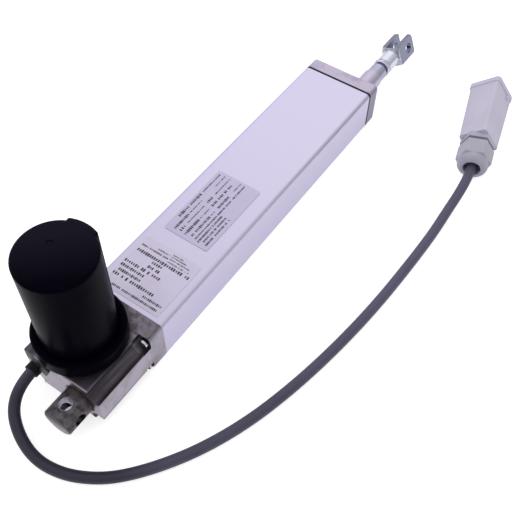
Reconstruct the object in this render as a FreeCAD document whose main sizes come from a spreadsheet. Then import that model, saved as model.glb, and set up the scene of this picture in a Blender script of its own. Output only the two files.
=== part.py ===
import FreeCAD, Part
import math
import os
import re
import Sketcher

# Electric lift cylinder: an extruded tube with a push rod, driven by an upright motor through a worm
# gear and a lead screw. The rod runs along +X and the motor stands along +Z. The origin is the centre
# of the crossed pin holes in the rear lug, on the rod's axis. All lengths are in millimetres.

# Driving sizes
SIZES = {
    # extruded tube, with a rib on each side of a slot between the rod chamber and the switch chamber
    "tube_width": 72.0,
    "tube_height": 42.5,
    "tube_wall": 3.0,
    "tube_corner": 4.0,
    "tube_length": 312.6,
    "rod_offset": 15.4,
    "rib_thickness": 2.5,
    "rib_place": 19.0,
    "rib_slot": 12.0,
    "screw_inset": 4.5,
    "boss_radius": 4.5,
    # front cap with its gasket, bush and wiper
    "gasket_thickness": 1.8,
    "gasket_inset": 0.2,
    "gasket_width": 8.0,
    "cap_thickness": 14.4,
    "cap_edge": 1.5,
    "cap_lip": 1.5,
    "bush_radius": 13.0,
    "bush_length": 22.0,
    "wiper_length": 4.0,
    # machine screws that hold the tube between the gearbox and the cap
    "screw_shank": 4.0,
    "screw_head": 7.0,
    "screw_head_height": 4.0,
    "screw_grip": 12.0,
    "hex_socket": 3.0,
    "hex_depth": 2.0,
    # gearbox casting
    "lug_reach": 12.6,
    "body_length": 56.2,
    "body_lift": 0.5,
    "body_corner": 2.0,
    "body_edge": 1.2,
    "flange_thickness": 16.9,
    "channel_radius": 6.6,
    "pocket_radius": 7.6,
    "pocket_length": 8.5,
    "pocket_depth": 2.0,
    "chamber_gap": 1.0,
    "plate_radius": 18.0,
    "plate_thickness": 12.0,
    "plate_opening": 10.0,
    "short_channel": 25.0,
    # rear lug
    "lug_radius": 12.5,
    "lug_end": 12.0,
    "lug_hole": 10.0,
    "lug_chamfer": 1.0,
    "shank_length": 12.0,
    # lead screw, its bearings and the worm gear
    "stroke": 250.0,
    "screw_radius": 7.0,
    "screw_chamfer": 1.5,
    "journal_radius": 6.0,
    "collar_radius": 8.5,
    "bearing_outer": 28.0,
    "bearing_width": 8.0,
    "race_thickness": 1.8,
    "shield_inset": 0.6,
    "motor_place": 46.3,
    "worm_centre": 24.5,
    "gear_module": 1.0,
    "pressure_angle": 20.0,
    "tooth_foot": 1.25,
    "tooth_play": 0.3,
    "thread_sink": 0.3,
    "wheel_width": 12.0,
    "key_size": 4.0,
    "worm_length": 22.0,
    "worm_drop": 15.0,
    # nut, push rod and fork
    "nut_clearance": 6.0,
    "nut_length": 32.0,
    "nut_radius": 13.5,
    "nut_seat": 12.0,
    "slider_length": 20.0,
    "slider_corner": 9.5,
    "arm_reach": 36.0,
    "rod_radius": 10.0,
    "rod_bore": 7.5,
    "rod_out": 29.5,
    "nose_radius": 8.85,
    "nose_length": 15.0,
    "nose_chamfer": 1.5,
    "spigot_length": 20.0,
    "stud_radius": 5.0,
    "thread_gap": 2.5,
    "lock_flats": 17.0,
    "lock_thickness": 5.0,
    "lock_chamfer": 1.25,
    "fork_width": 20.0,
    "fork_slot": 10.0,
    "fork_neck": 9.0,
    "fork_neck_length": 16.0,
    "fork_depth": 17.5,
    "fork_reach": 36.5,
    "fork_end": 10.5,
    "fork_hole": 10.0,
    "fork_chamfer": 1.0,
    "fork_tilt": -22.8,
    # limit switches
    "rail_thickness": 1.6,
    "rail_height": 22.0,
    "rail_margin": 6.0,
    "switch_length": 20.0,
    "switch_height": 6.4,
    "switch_gap": 0.5,
    # motor
    "ring_radius": 35.5,
    "ring_height": 14.0,
    "ring_plate": 8.0,
    "ring_chamfer": 1.5,
    "cover_radius": 29.1,
    "cover_wall": 1.9,
    "cover_height": 91.8,
    "cover_round": 2.0,
    "lobe_rise": 2.4,
    "lobe_width": 25.0,
    "lobe_turn": 3.5,
    "lobe_corner": 1.9,
    "gate_radius": 2.6,
    "gate_depth": 0.6,
    "gate_forward": 5.0,
    "gate_left": 8.5,
    "can_radius": 26.0,
    "can_wall": 1.8,
    "can_height": 86.0,
    "shaft_radius": 4.0,
    "motor_bearing": 22.0,
    "motor_bearing_width": 7.0,
    "foot_radius": 6.5,
    "foot_length": 4.0,
    "magnet_thickness": 4.0,
    "magnet_length": 44.0,
    "magnet_start": 8.0,
    "magnet_gap": 12.0,
    "armature_radius": 18.5,
    "armature_length": 40.0,
    "winding_radius": 15.0,
    "winding_length": 6.0,
    "commutator_radius": 9.0,
    "commutator_length": 10.0,
    "brush_plate": 5.0,
    "brush_width": 6.0,
    "brush_height": 5.0,
    "brush_length": 10.0,
    # cable gland and the plate beside it
    "cable_diameter": 9.0,
    "cable_first_run": 19.6,
    "cable_last_run": 24.0,
    "gland_inset": 7.0,
    "gland_height": 0.5,
    "gland_radius": 6.0,
    "gland_shank": 5.4,
    "gland_out": 5.3,
    "gland_depth": 12.0,
    "gland_grip": 2.0,
    "clip_width": 7.0,
    "clip_length": 13.0,
    "clip_thickness": 1.6,
    "clip_inset": 18.8,
    "clip_height": 8.5,
    "clip_tilt": 25.0,
    # plug on the far end of the cable: its place is the middle of the hood's gland end
    "plug_x": 425.5,
    "plug_y": -126.4,
    "plug_z": -2.3,
    "plug_yaw": 15.15,
    "plug_pitch": 2.0,
    "plug_roll": 52.3,
    "hood_width": 27.8,
    "hood_length": 67.2,
    "hood_taper": 1.2,
    "hood_corner": 3.0,
    "hood_wall": 2.2,
    "hood_end": 6.0,
    "rim_length": 6.2,
    "rim_overhang": 0.9,
    "rim_edge": 0.7,
    "peg_radius": 2.4,
    "peg_gap": 0.8,
    "peg_offset": 6.0,
    "insert_depth": 14.0,
    "insert_length": 24.0,
    "contact_radius": 1.5,
    "contact_pitch": 5.0,
    "gland_flats": 28.2,
    "gland_hex_length": 5.8,
    "gland_thread": 9.0,
    "gland_spigot": 8.0,
    "nut_flats": 28.6,
    "nut_joint": 3.4,
    "nut_hex_length": 17.5,
    "nut_dome": 7.8,
    "nut_dome_round": 4.7,
    "nut_chamfer": 30.0,
    "nut_mouth": 8.2,
    "seal_length": 8.0,
    # fits
    "running": 0.05,
    "sliding": 0.3,
    "loose": 0.5,
    "snug": 0.1,
    "end_play": 0.1,
}

# Teeth of the worm wheel, and starts of the worm
WHEEL_TEETH = 26
WORM_STARTS = 2

# Places that follow from the driving sizes
PLACES = {
    "top": "tube_height / 2",
    "right_side": "rod_offset - tube_width / 2",
    "left_side": "rod_offset + tube_width / 2",
    "body_floor": "body_lift - tube_height / 2",
    "gland_place": "left_side - gland_inset",
    "flange_rear": "lug_reach + body_length",
    "tube_rear": "flange_rear + flange_thickness",
    "tube_front": "tube_rear + tube_length",
    "cap_rear": "tube_front + gasket_thickness",
    "cap_front": "cap_rear + cap_thickness",
    "wiper_rear": "cap_front - cap_lip - wiper_length",
    "shank_end": "lug_reach + shank_length",
    "chamber_rear": "shank_end + bearing_width",
    "wheel_rear": "motor_place - wheel_width / 2",
    "wheel_front": "motor_place + wheel_width / 2",
    "plate_rear": "tube_rear - plate_thickness",
    "thread_rear": "plate_rear + bearing_width",
    "nut_rear": "tube_rear + nut_clearance",
    "screw_end": "nut_rear + stroke + nut_length + nut_clearance",
    "rod_rear": "nut_rear + nut_seat",
    "rod_front": "cap_front + rod_out",
    "nose_front": "rod_front + nose_length",
    "lock_rear": "nose_front + thread_gap",
    "fork_rear": "lock_rear + lock_thickness",
    "fork_pin": "fork_rear + fork_reach",
    "stud_reach": "thread_gap + lock_thickness + fork_reach - fork_depth - loose",
    "fork_length": "fork_reach + fork_end",
    "slider_rear": "nut_rear + (nut_length - slider_length) / 2",
    "wheel_radius": f"gear_module * {WHEEL_TEETH} / 2",
    "chamber_radius": "wheel_radius + gear_module + chamber_gap",
    "worm_radius": "worm_centre - wheel_radius",
    "worm_root": "worm_radius - tooth_foot",
    "worm_lead": f"pi * gear_module * {WORM_STARTS}",
    "flank_slope": "tan(pressure_angle * 1 deg)",
    "thread_crest": "(pi * gear_module / 2 - tooth_play) / 2 - gear_module * flank_slope",
    "thread_foot": "thread_crest + (gear_module + tooth_foot + thread_sink) * flank_slope",
    "thread_rise": "worm_length - 2 * thread_foot - loose",
    "motor_base": "top + ring_plate",
    "magnet_radius": "can_radius - can_wall - snug",
    "armature_start": "magnet_start + (magnet_length - armature_length) / 2",
    "commutator_start": "armature_start + armature_length + winding_length + loose",
    "brush_start": "commutator_start + commutator_length + loose",
    "upper_bearing": "brush_start + brush_plate",
    "gland_thread_reach": "nut_hex_length - seal_length - nut_joint",
    "cable_end": "-gland_hex_length - nut_joint - gland_thread_reach",
    "insert_rear": "hood_length + rim_length - insert_depth - insert_length",
}

# The cable's route between the gland's axis and the plug's, chosen along the bends that the cable lies in
CABLE_REST = -16.75
CABLE_ROUTE = [
    (-23.3, 36.6, -4.2),
    (-36.3, 20.2, -10.5),
    (-41.3, 0.2, -15.0),
    (-37.6, -20.5, CABLE_REST),
    (-26.6, -39.5, CABLE_REST),
    (-9.9, -56.8, CABLE_REST),
    (12.2, -74.0, CABLE_REST),
    (41.2, -92.0, CABLE_REST),
    (78.2, -108.0, CABLE_REST),
    (121.0, -120.0, CABLE_REST),
    (168.0, -128.5, CABLE_REST),
    (218.0, -134.5, CABLE_REST),
    (268.0, -137.5, CABLE_REST),
    (311.0, -138.5, CABLE_REST),
    (341.0, -138.6, -15.2),
    (364.0, -138.2, -9.0),
]

X_AXIS = FreeCAD.Vector(1, 0, 0)
Y_AXIS = FreeCAD.Vector(0, 1, 0)
Z_AXIS = FreeCAD.Vector(0, 0, 1)
UPRIGHT = FreeCAD.Rotation()
# Turns a piece so that its own x, y and z point along the part's Y, Z and X
ALONG_X = FreeCAD.Rotation(FreeCAD.Vector(1, 1, 1), 120)
# Turns a piece so that its own x, y and z point along the part's Z, X and Y
ALONG_Y = FreeCAD.Rotation(FreeCAD.Vector(1, 1, 1), 240)

doc = FreeCAD.newDocument("lift_cylinder")
sheet = doc.addObject("Spreadsheet::Sheet", "dims")
nodes = []


def fill_sheet():
    """Write every size and every place to the sheet, each under its own name."""
    rows = list(SIZES.items()) + [(name, "=" + formula) for name, formula in PLACES.items()]
    for row, (name, content) in enumerate(rows, start=1):
        sheet.set(f"A{row}", name)
        sheet.set(f"B{row}", str(content))
        sheet.setAlias(f"B{row}", name)
    doc.recompute()


def bound(formula):
    """Point each size named in a formula at its cell."""
    def cell(word):
        name = word.group()
        return "dims." + name if name in SIZES or name in PLACES else name
    return re.sub(r"[a-z]\w+", cell, str(formula))


def number(formula):
    return float(sheet.evalExpression(bound(formula)))


def bind(piece, **formulas):
    for name, formula in formulas.items():
        piece.setExpression(name, bound(formula))


def place(piece, at, turn=UPRIGHT):
    piece.Placement = FreeCAD.Placement(FreeCAD.Vector(), turn)
    for axis, formula in zip("xyz", at):
        piece.setExpression(f"Placement.Base.{axis}", bound(formula))
    return piece


def node(piece):
    """Keep a piece as one of the part's own nodes."""
    nodes.append(piece)
    return piece


def plane(body, role):
    return next(feature for feature in body.Origin.OriginFeatures if feature.Role == role)


def outline(body, role, points):
    """A closed sketch of straight lines, with each corner's two coordinates bound to the sheet."""
    sketch = body.newObject("Sketcher::SketchObject", body.Name + "_outline")
    sketch.AttachmentSupport = (plane(body, role), [""])
    sketch.MapMode = "FlatFace"
    corners = [FreeCAD.Vector(number(across), number(up), 0) for across, up in points]
    for start, end in zip(corners, corners[1:] + corners[:1]):
        sketch.addGeometry(Part.LineSegment(start, end))
    count = len(points)
    for index in range(count):
        sketch.addConstraint(Sketcher.Constraint("Coincident", index, 2, (index + 1) % count, 1))
    for index, (across, up) in enumerate(points):
        corner = corners[index]
        for kind, formula, size in (("DistanceX", across, corner.x), ("DistanceY", up, corner.y)):
            row = sketch.addConstraint(Sketcher.Constraint(kind, -1, 1, index, 1, size))
            sketch.setExpression(f"Constraints[{row}]", bound(formula))
    return sketch


def turned(label, profile, at, turn=ALONG_X):
    """A lathe piece: its half profile of (radius, length) corners spun about its own z."""
    body = doc.addObject("PartDesign::Body", label)
    sketch = outline(body, "XZ_Plane", profile)
    spin = body.newObject("PartDesign::Revolution", label + "_turning")
    spin.Profile = sketch
    spin.ReferenceAxis = (sketch, ["V_Axis"])
    spin.Angle = 360
    return place(body, at, turn)


def tube_profile(inner, outer, length, start="0"):
    end = f"({start}) + ({length})"
    return [(inner, start), (outer, start), (outer, end), (inner, end)]


def extruded(label, points, length, at, turn=ALONG_X, taper="0"):
    """A piece raised from its outline along its own z, wider towards its end by the taper in degrees."""
    body = doc.addObject("PartDesign::Body", label)
    sketch = outline(body, "XY_Plane", points)
    pad = body.newObject("PartDesign::Pad", label + "_pad")
    pad.Profile = sketch
    bind(pad, Length=length, TaperAngle=f"({taper}) * 1 deg")
    return place(body, at, turn)


def centred(width, height):
    return [(f"{side} * ({width}) / 2", f"{end} * ({height}) / 2")
            for side, end in ((-1, -1), (1, -1), (1, 1), (-1, 1))]


def rounded_bar(label, width, height, length, corner, at, turn=ALONG_X, front_edge=None, rear_edge=None,
                taper="0"):
    """A bar of rectangular section with rounded long edges, and rounded end edges if asked for."""
    body = extruded(label, centred(width, height), length, at, turn, taper)
    doc.recompute()
    pad = body.Tip
    long_edges = [f"Edge{index}" for index, edge in enumerate(pad.Shape.Edges, start=1)
                  if abs(edge.Vertexes[0].Z - edge.Vertexes[-1].Z) > 0.5 * number(length)]
    body.Tip = round_edges(body, pad, long_edges, corner)
    for radius, height_of_end in ((front_edge, number(length)), (rear_edge, 0)):
        if radius:
            doc.recompute()
            ends = [f"Edge{index}" for index, edge in enumerate(body.Tip.Shape.Edges, start=1)
                    if all(abs(vertex.Z - height_of_end) < 1e-4 for vertex in edge.Vertexes)]
            body.Tip = round_edges(body, body.Tip, ends, radius)
    return body


def round_edges(body, feature, edges, radius):
    fillet = body.newObject("PartDesign::Fillet", body.Name + "_fillet")
    fillet.Base = (feature, edges)
    bind(fillet, Radius=radius)
    return fillet


def round_ring(body, ring, radius):
    """Round the edge that one corner of a lathe piece's profile turns."""
    doc.recompute()
    across, along = (number(formula) for formula in ring)
    edges = [f"Edge{index}" for index, edge in enumerate(body.Tip.Shape.Edges, start=1)
             if edge.Curve.TypeId == "Part::GeomCircle"
             and math.hypot(edge.Curve.Radius - across, edge.Curve.Center.z - along) < 1e-4]
    body.Tip = round_edges(body, body.Tip, edges, radius)
    return body


def rod(name, radius, length, at, turn=ALONG_X):
    piece = doc.addObject("Part::Cylinder", name)
    bind(piece, Radius=radius, Height=length)
    return place(piece, at, turn)


def block(name, size, at, turn=UPRIGHT):
    piece = doc.addObject("Part::Box", name)
    bind(piece, Length=size[0], Width=size[1], Height=size[2])
    return place(piece, at, turn)


def hexagon(name, flats, length, at, turn):
    piece = doc.addObject("Part::Prism", name)
    piece.Polygon = 6
    bind(piece, Circumradius=f"({flats}) / sqrt(3)", Height=length)
    return place(piece, at, turn)


def joined(label, *pieces):
    union = doc.addObject("Part::MultiFuse", label)
    union.Shapes = list(pieces)
    union.Refine = True
    return union


def cut(label, base, *tools):
    tool = tools[0] if len(tools) == 1 else joined(label + "_cutters", *tools)
    piece = doc.addObject("Part::Cut", label)
    piece.Base = base
    piece.Tool = tool
    piece.Refine = True
    return piece


def shared(label, first, second):
    """What two pieces have in common."""
    piece = doc.addObject("Part::Common", label)
    piece.Base = first
    piece.Tool = second
    piece.Refine = True
    return piece


def group(label, members):
    """Like pieces that share one node, as separate solids."""
    piece = doc.addObject("Part::Compound", label)
    piece.Links = members
    return piece


def tilted(angle):
    """A turn along X that is then rolled about X."""
    return FreeCAD.Rotation(X_AXIS, angle).multiply(ALONG_X)


def corner_places():
    """The four screw axes, inset from the tube's sides: top right, bottom right, bottom left, top left."""
    right, left = "right_side + screw_inset", "left_side - screw_inset"
    upper, lower = "top - screw_inset", "screw_inset - top"
    return [(right, upper), (right, lower), (left, lower), (left, upper)]


# Extruded tube

def outer_tube():
    outside = rounded_bar("tube_outside", "tube_width", "tube_height", "tube_length", "tube_corner",
                          ("tube_rear", "rod_offset", "0"))
    hollow = block("tube_hollow_box",
                   ("tube_length", "tube_width - 2 * tube_wall", "tube_height - 2 * tube_wall"),
                   ("tube_rear", "right_side + tube_wall", "tube_wall - top"))
    rib_height = "top - tube_wall - rib_slot / 2"
    ribs = [block(f"tube_rib_{name}", ("tube_length", "rib_thickness", rib_height),
                  ("tube_rear", "rib_place", base))
            for name, base in (("upper", "rib_slot / 2"), ("lower", "tube_wall - top"))]
    bosses = [rod(f"tube_boss_{index}", "boss_radius", "tube_length", ("tube_rear", y, z))
              for index, (y, z) in enumerate(corner_places())]
    taps = [rod(f"tube_tap_{index}", "screw_shank / 2 + snug", "tube_length", ("tube_rear", y, z))
            for index, (y, z) in enumerate(corner_places())]
    shell = cut("tube_shell", outside, cut("tube_hollow", hollow, *ribs, *bosses))
    return cut("outer_tube", shell, *taps)


# Front cap, its gasket, and the bush and wiper that the rod runs in

def front_cap():
    solid = rounded_bar("cap_solid", "tube_width", "tube_height", "cap_thickness", "tube_corner",
                        ("cap_rear", "rod_offset", "0"), front_edge="cap_edge")
    seat = rod("cap_seat", "bush_radius", "cap_thickness - cap_lip", ("cap_rear", "0", "0"))
    mouth = rod("cap_mouth", "rod_radius + loose", "cap_thickness", ("cap_rear", "0", "0"))
    holes = []
    for index, (y, z) in enumerate(corner_places()):
        holes.append(rod(f"cap_hole_{index}", "screw_shank / 2 + loose", "cap_thickness", ("cap_rear", y, z)))
        holes.append(rod(f"cap_sink_{index}", "screw_head / 2 + loose / 2", "screw_head_height + loose",
                         ("cap_front - screw_head_height - loose", y, z)))
    return cut("front_cap", solid, seat, mouth, *holes)


def front_gasket():
    flat = rounded_bar("gasket_flat", "tube_width - 2 * gasket_inset", "tube_height - 2 * gasket_inset",
                       "gasket_thickness", "tube_corner", ("tube_front", "rod_offset", "0"))
    window = block("gasket_window", ("gasket_thickness", "tube_width - 2 * gasket_width",
                                     "tube_height - 2 * gasket_width"),
                   ("tube_front", "right_side + gasket_width", "gasket_width - top"))
    opening = rod("gasket_opening", "bush_radius + loose", "gasket_thickness", ("tube_front", "0", "0"))
    holes = [rod(f"gasket_hole_{index}", "screw_shank / 2 + loose", "gasket_thickness", ("tube_front", y, z))
             for index, (y, z) in enumerate(corner_places())]
    return cut("front_gasket", flat, window, opening, *holes)


def rod_bush():
    return turned("rod_bush", tube_profile("rod_radius + running", "bush_radius", "bush_length"),
                  ("wiper_rear - bush_length", "0", "0"))


def rod_wiper():
    return turned("rod_wiper", tube_profile("rod_radius + running", "bush_radius", "wiper_length"),
                  ("wiper_rear", "0", "0"))


def corner_screws(label, seat, length, forward):
    """Four screws on the corner axes. Their heads sit at X = seat, and the shanks point forward or back."""
    turn = ALONG_X if forward else ALONG_X.multiply(FreeCAD.Rotation(X_AXIS, 180))
    sink = "-screw_head_height" if forward else "screw_head_height - hex_depth"
    screws = []
    for index, (y, z) in enumerate(corner_places()):
        name = f"{label}_{index}"
        profile = [("0", "-screw_head_height"), ("screw_head / 2", "-screw_head_height"),
                   ("screw_head / 2", "0"), ("screw_shank / 2", "0"), ("screw_shank / 2", length),
                   ("0", length)]
        solid = turned(name + "_solid", profile, (seat, y, z), turn)
        socket = hexagon(name + "_socket", "hex_socket", "hex_depth", (f"{seat} + {sink}", y, z), ALONG_X)
        screws.append(cut(name, solid, socket))
    return group(label, screws)


# Gearbox casting

def gearbox_housing():
    body = rounded_bar("gearbox_body", "tube_width", "top - body_floor", "body_length", "body_corner",
                       ("lug_reach", "rod_offset", "(top + body_floor) / 2"), rear_edge="body_edge")
    flange = rounded_bar("gearbox_flange", "tube_width", "tube_height", "flange_thickness", "tube_corner",
                         ("flange_rear", "rod_offset", "0"))
    casting = joined("gearbox_casting", body, flange)
    bores = [
        rod("gearbox_rear_bore", "bearing_outer / 2", "chamber_rear - lug_reach", ("lug_reach", "0", "0")),
        rod("gearbox_chamber", "chamber_radius", "plate_rear - chamber_rear", ("chamber_rear", "0", "0")),
        rod("gearbox_recess", "plate_radius", "plate_thickness", ("plate_rear", "0", "0")),
        rod("gearbox_worm_bore", "worm_radius + gear_module + loose", "worm_drop + top",
            on_motor("-worm_drop"), UPRIGHT),
        rod("gearbox_foot_bore", "foot_radius", "foot_length", on_motor("-worm_drop - foot_length"), UPRIGHT),
        rod("gearbox_gland_bore", "gland_shank", "gland_depth", ("lug_reach", "gland_place", "gland_height")),
    ]
    corners = corner_places()
    lengths = ("body_length", "body_length", "body_length", "short_channel")
    channels = [rod(f"gearbox_channel_{index}", "channel_radius", length, (f"flange_rear - {length}", y, z))
                for index, (length, (y, z)) in enumerate(zip(lengths, corners))]
    pockets = [rod(f"gearbox_pocket_{index}", "pocket_radius", "pocket_length",
                   ("flange_rear + pocket_depth - pocket_length", y, z))
               for index, (y, z) in enumerate(corners)]
    holes = [rod(f"gearbox_hole_{index}", "screw_shank / 2 + loose", "flange_thickness",
                 ("flange_rear", y, z)) for index, (y, z) in enumerate(corners)]
    return cut("gearbox_housing", casting, *bores, *channels, *pockets, *holes)


def bearing_plate():
    seat = "bearing_outer / 2"
    profile = [(seat, "0"), ("plate_radius", "0"), ("plate_radius", "plate_thickness"),
               ("plate_opening", "plate_thickness"), ("plate_opening", "bearing_width"),
               (seat, "bearing_width")]
    return turned("bearing_plate", profile, ("plate_rear", "0", "0"))


def ball_bearing(label, bore, outer, width, at, turn=ALONG_X):
    """A shielded bearing: two races with the shield set back between them."""
    inner_race, outer_race = f"{bore} + race_thickness", f"{outer} - race_thickness"
    far = f"{width} - shield_inset"
    profile = [(bore, "0"), (inner_race, "0"), (inner_race, "shield_inset"), (outer_race, "shield_inset"),
               (outer_race, "0"), (outer, "0"), (outer, width), (outer_race, width), (outer_race, far),
               (inner_race, far), (inner_race, width), (bore, width)]
    return turned(label, profile, at, turn)


def rear_lug():
    shank = "bearing_outer / 2 - running"
    profile = [("0", "-lug_end"), ("lug_radius - lug_chamfer", "-lug_end"),
               ("lug_radius", "lug_chamfer - lug_end"), ("lug_radius", "lug_reach"), (shank, "lug_reach"),
               (shank, "shank_end"), ("0", "shank_end")]
    solid = turned("lug_solid", profile, ("0", "0", "0"))
    upright = rod("lug_upright_hole", "lug_hole / 2", "2 * lug_radius", ("0", "0", "-lug_radius"), UPRIGHT)
    across = rod("lug_cross_hole", "lug_hole / 2", "2 * lug_radius", ("0", "-lug_radius", "0"), ALONG_Y)
    return cut("rear_lug", solid, upright, across)


# Lead screw with the worm wheel on it

def key_seat(name):
    return block(name, ("wheel_width", "key_size", "key_size"),
                 ("wheel_rear", "-key_size / 2", "journal_radius - key_size / 2"))


def lead_screw():
    profile = [("0", "shank_end + loose"), ("journal_radius", "shank_end + loose"),
               ("journal_radius", "wheel_front"), ("collar_radius", "wheel_front"),
               ("collar_radius", "plate_rear - end_play"), ("journal_radius", "plate_rear - end_play"),
               ("journal_radius", "thread_rear + end_play"), ("screw_radius", "thread_rear + end_play"),
               ("screw_radius", "screw_end - screw_chamfer"), ("screw_radius - screw_chamfer", "screw_end"),
               ("0", "screw_end")]
    bar = turned("screw_bar", profile, ("0", "0", "0"))
    return cut("lead_screw", bar, key_seat("screw_keyway"))


def wheel_spacer():
    profile = tube_profile("journal_radius", "collar_radius", "wheel_rear - chamber_rear - end_play")
    return turned("wheel_spacer", profile, ("chamber_rear + end_play", "0", "0"))


def tooth_flanks():
    """One tooth of the wheel as corners of (radius, angle), its flanks on the involute of a base circle."""
    pitch, pressure = number("wheel_radius"), math.radians(number("pressure_angle"))
    base = pitch * math.cos(pressure)

    def half_angle(radius):
        slope = math.acos(base / max(radius, base))
        return math.pi / (2 * WHEEL_TEETH) + math.tan(pressure) - pressure - math.tan(slope) + slope

    radii = (pitch - number("tooth_foot"), base, pitch, pitch + number("gear_module"))
    flank = [(radius, half_angle(radius)) for radius in radii]
    return [(radius, -angle) for radius, angle in flank] + flank[::-1]


def twisted_prism(label, corners, length, twist, at, turn=ALONG_X):
    """A prism in flat facets: its outline of (radius, angle) corners turns by the twist along its own z."""
    rings = [[FreeCAD.Vector(radius * math.cos(angle + offset), radius * math.sin(angle + offset), height)
              for radius, angle in corners] for height, offset in ((0, -twist / 2), (length, twist / 2))]
    loops = list(rings)
    for index, (low, high) in enumerate(zip(*rings)):
        low_before, high_before = rings[0][index - 1], rings[1][index - 1]
        loops += [[low_before, low, high], [low_before, high, high_before]]
    shell = Part.makeShell([Part.Face(Part.makePolygon(loop + loop[:1])) for loop in loops])
    shell.sewShape()
    piece = doc.addObject("Part::Feature", label)
    piece.Shape = Part.makeSolid(shell)
    return place(piece, at, turn)


def worm_wheel():
    """A helical gear whose teeth lean with the worm's thread. A gap between two teeth faces the worm."""
    step = 2 * math.pi / WHEEL_TEETH
    corners = [(radius, angle + (index + 0.5) * step)
               for index in range(WHEEL_TEETH) for radius, angle in tooth_flanks()]
    lean = number("worm_lead / (2 * pi * worm_radius)")
    twist = number("wheel_width") * lean / number("wheel_radius")
    teeth = twisted_prism("wheel_teeth", corners, number("wheel_width"), twist, ("wheel_rear", "0", "0"))
    bore = rod("wheel_bore", "journal_radius", "wheel_width", ("wheel_rear", "0", "0"))
    return cut("worm_wheel", teeth, bore, key_seat("wheel_keyway"))


def wheel_key():
    return key_seat("wheel_key")


# Push rod

def drive_nut():
    bore = "screw_radius + sliding"
    profile = [(bore, "0"), ("nut_radius", "0"), ("nut_radius", "nut_length"), ("rod_radius", "nut_length"),
               ("rod_radius", "nut_seat"), (bore, "nut_seat")]
    return turned("drive_nut", profile, ("nut_rear", "0", "0"))


def nut_slider():
    """A plastic block that keeps the nut from turning, with the arm that trips the limit switches."""
    right, left = "right_side + tube_wall + sliding", "rib_place - sliding"
    high = "top - tube_wall - sliding"
    arm = "rib_slot / 2 - sliding"
    half = [(right, f"{high} - slider_corner"), (f"{right} + slider_corner", high), (left, high), (left, arm),
            ("arm_reach", arm)]
    mirrored = [(across, f"-({up})") for across, up in reversed(half)]
    solid = extruded("slider_solid", mirrored + half, "slider_length", ("slider_rear", "0", "0"))
    bore = rod("slider_bore", "nut_radius", "slider_length", ("slider_rear", "0", "0"))
    return cut("nut_slider", solid, bore)


def push_rod():
    return turned("push_rod", tube_profile("rod_bore", "rod_radius", "rod_front - rod_rear"),
                  ("rod_rear", "0", "0"))


def rod_nose():
    stud_end = "nose_length + stud_reach"
    profile = [("0", "-spigot_length"), ("rod_bore", "-spigot_length"), ("rod_bore", "0"),
               ("nose_radius", "0"), ("nose_radius", "nose_length - nose_chamfer"),
               ("nose_radius - nose_chamfer", "nose_length"),
               ("stud_radius", "nose_length"), ("stud_radius", stud_end), ("0", stud_end)]
    return turned("rod_nose", profile, ("rod_front", "0", "0"))


def lock_nut():
    at = ("lock_rear", "0", "0")
    hexed = hexagon("lock_hexagon", "lock_flats", "lock_thickness", at, tilted(number("fork_tilt")))
    side, corner = "lock_flats / 2", "lock_flats / sqrt(3)"
    profile = [("stud_radius", "0"), (side, "0"), (corner, "lock_chamfer"),
               (corner, "lock_thickness - lock_chamfer"), (side, "lock_thickness"),
               ("stud_radius", "lock_thickness")]
    return shared("lock_nut", hexed, turned("lock_rounded", profile, at))


def fork_head():
    """Square bar with a turned neck and nose, slotted and cross-drilled."""
    turn = tilted(number("fork_tilt"))
    at = ("fork_rear", "0", "0")
    corner = "fork_width / sqrt(2)"
    slope = f"{corner} - fork_neck"
    profile = [("stud_radius", "0"), ("fork_neck", "0"), ("fork_neck", "fork_neck_length"),
               (corner, f"fork_neck_length + {slope}"), (corner, "fork_length - fork_chamfer"),
               (f"{corner} - 2 * fork_chamfer", "fork_length"), ("stud_radius", "fork_length")]
    lathe = turned("fork_lathe", profile, at, turn)
    bar = extruded("fork_bar", centred("fork_width", "fork_width"), "fork_length", at, turn)
    turned_bar = shared("fork_blank", lathe, bar)
    slot = extruded("fork_slot_cutter", centred("fork_slot", "2 * fork_width"), "fork_depth + fork_end",
                    ("fork_pin - fork_depth", "0", "0"), turn)
    pin_turn = FreeCAD.Rotation(X_AXIS, number("fork_tilt")).multiply(ALONG_Y)
    pin_start = ("fork_pin", "-fork_width * cos(fork_tilt * 1 deg)", "-fork_width * sin(fork_tilt * 1 deg)")
    hole = rod("fork_pin_hole", "fork_hole / 2", "2 * fork_width", pin_start, pin_turn)
    return cut("fork_head", turned_bar, slot, hole)


# Limit switches

def switch_rail():
    return block("switch_rail", ("tube_length - 2 * rail_margin", "rail_thickness", "rail_height"),
                 ("tube_rear + rail_margin", "left_side - tube_wall - rail_thickness", "-rail_height / 2"))


def limit_switches():
    """One switch beside the arm at each end of the stroke, both on the rail."""
    depth = "left_side - tube_wall - rail_thickness - arm_reach - switch_gap"
    return group("limit_switches", [
        block(f"limit_switch_{index}", ("switch_length", depth, "switch_height"),
              (start, "arm_reach + switch_gap", "-switch_height / 2"))
        for index, start in enumerate(("slider_rear", "slider_rear + stroke"))])


# Motor

def on_motor(height="0"):
    return ("motor_place", "worm_centre", height)


def motor_ring():
    """A collar on the gearbox, with the cover's seat in its top and the lower bearing in its floor."""
    bore, seat, race = "shaft_radius + loose", "cover_radius + snug", "motor_bearing / 2"
    floor = "ring_plate - motor_bearing_width"
    profile = [(bore, "0"), ("ring_radius", "0"), ("ring_radius", "ring_height - ring_chamfer"),
               ("ring_radius - ring_chamfer", "ring_height"), (seat, "ring_height"), (seat, "ring_plate"),
               (race, "ring_plate"), (race, floor), (bore, floor)]
    return turned("motor_ring", profile, on_motor("top"), UPRIGHT)


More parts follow.
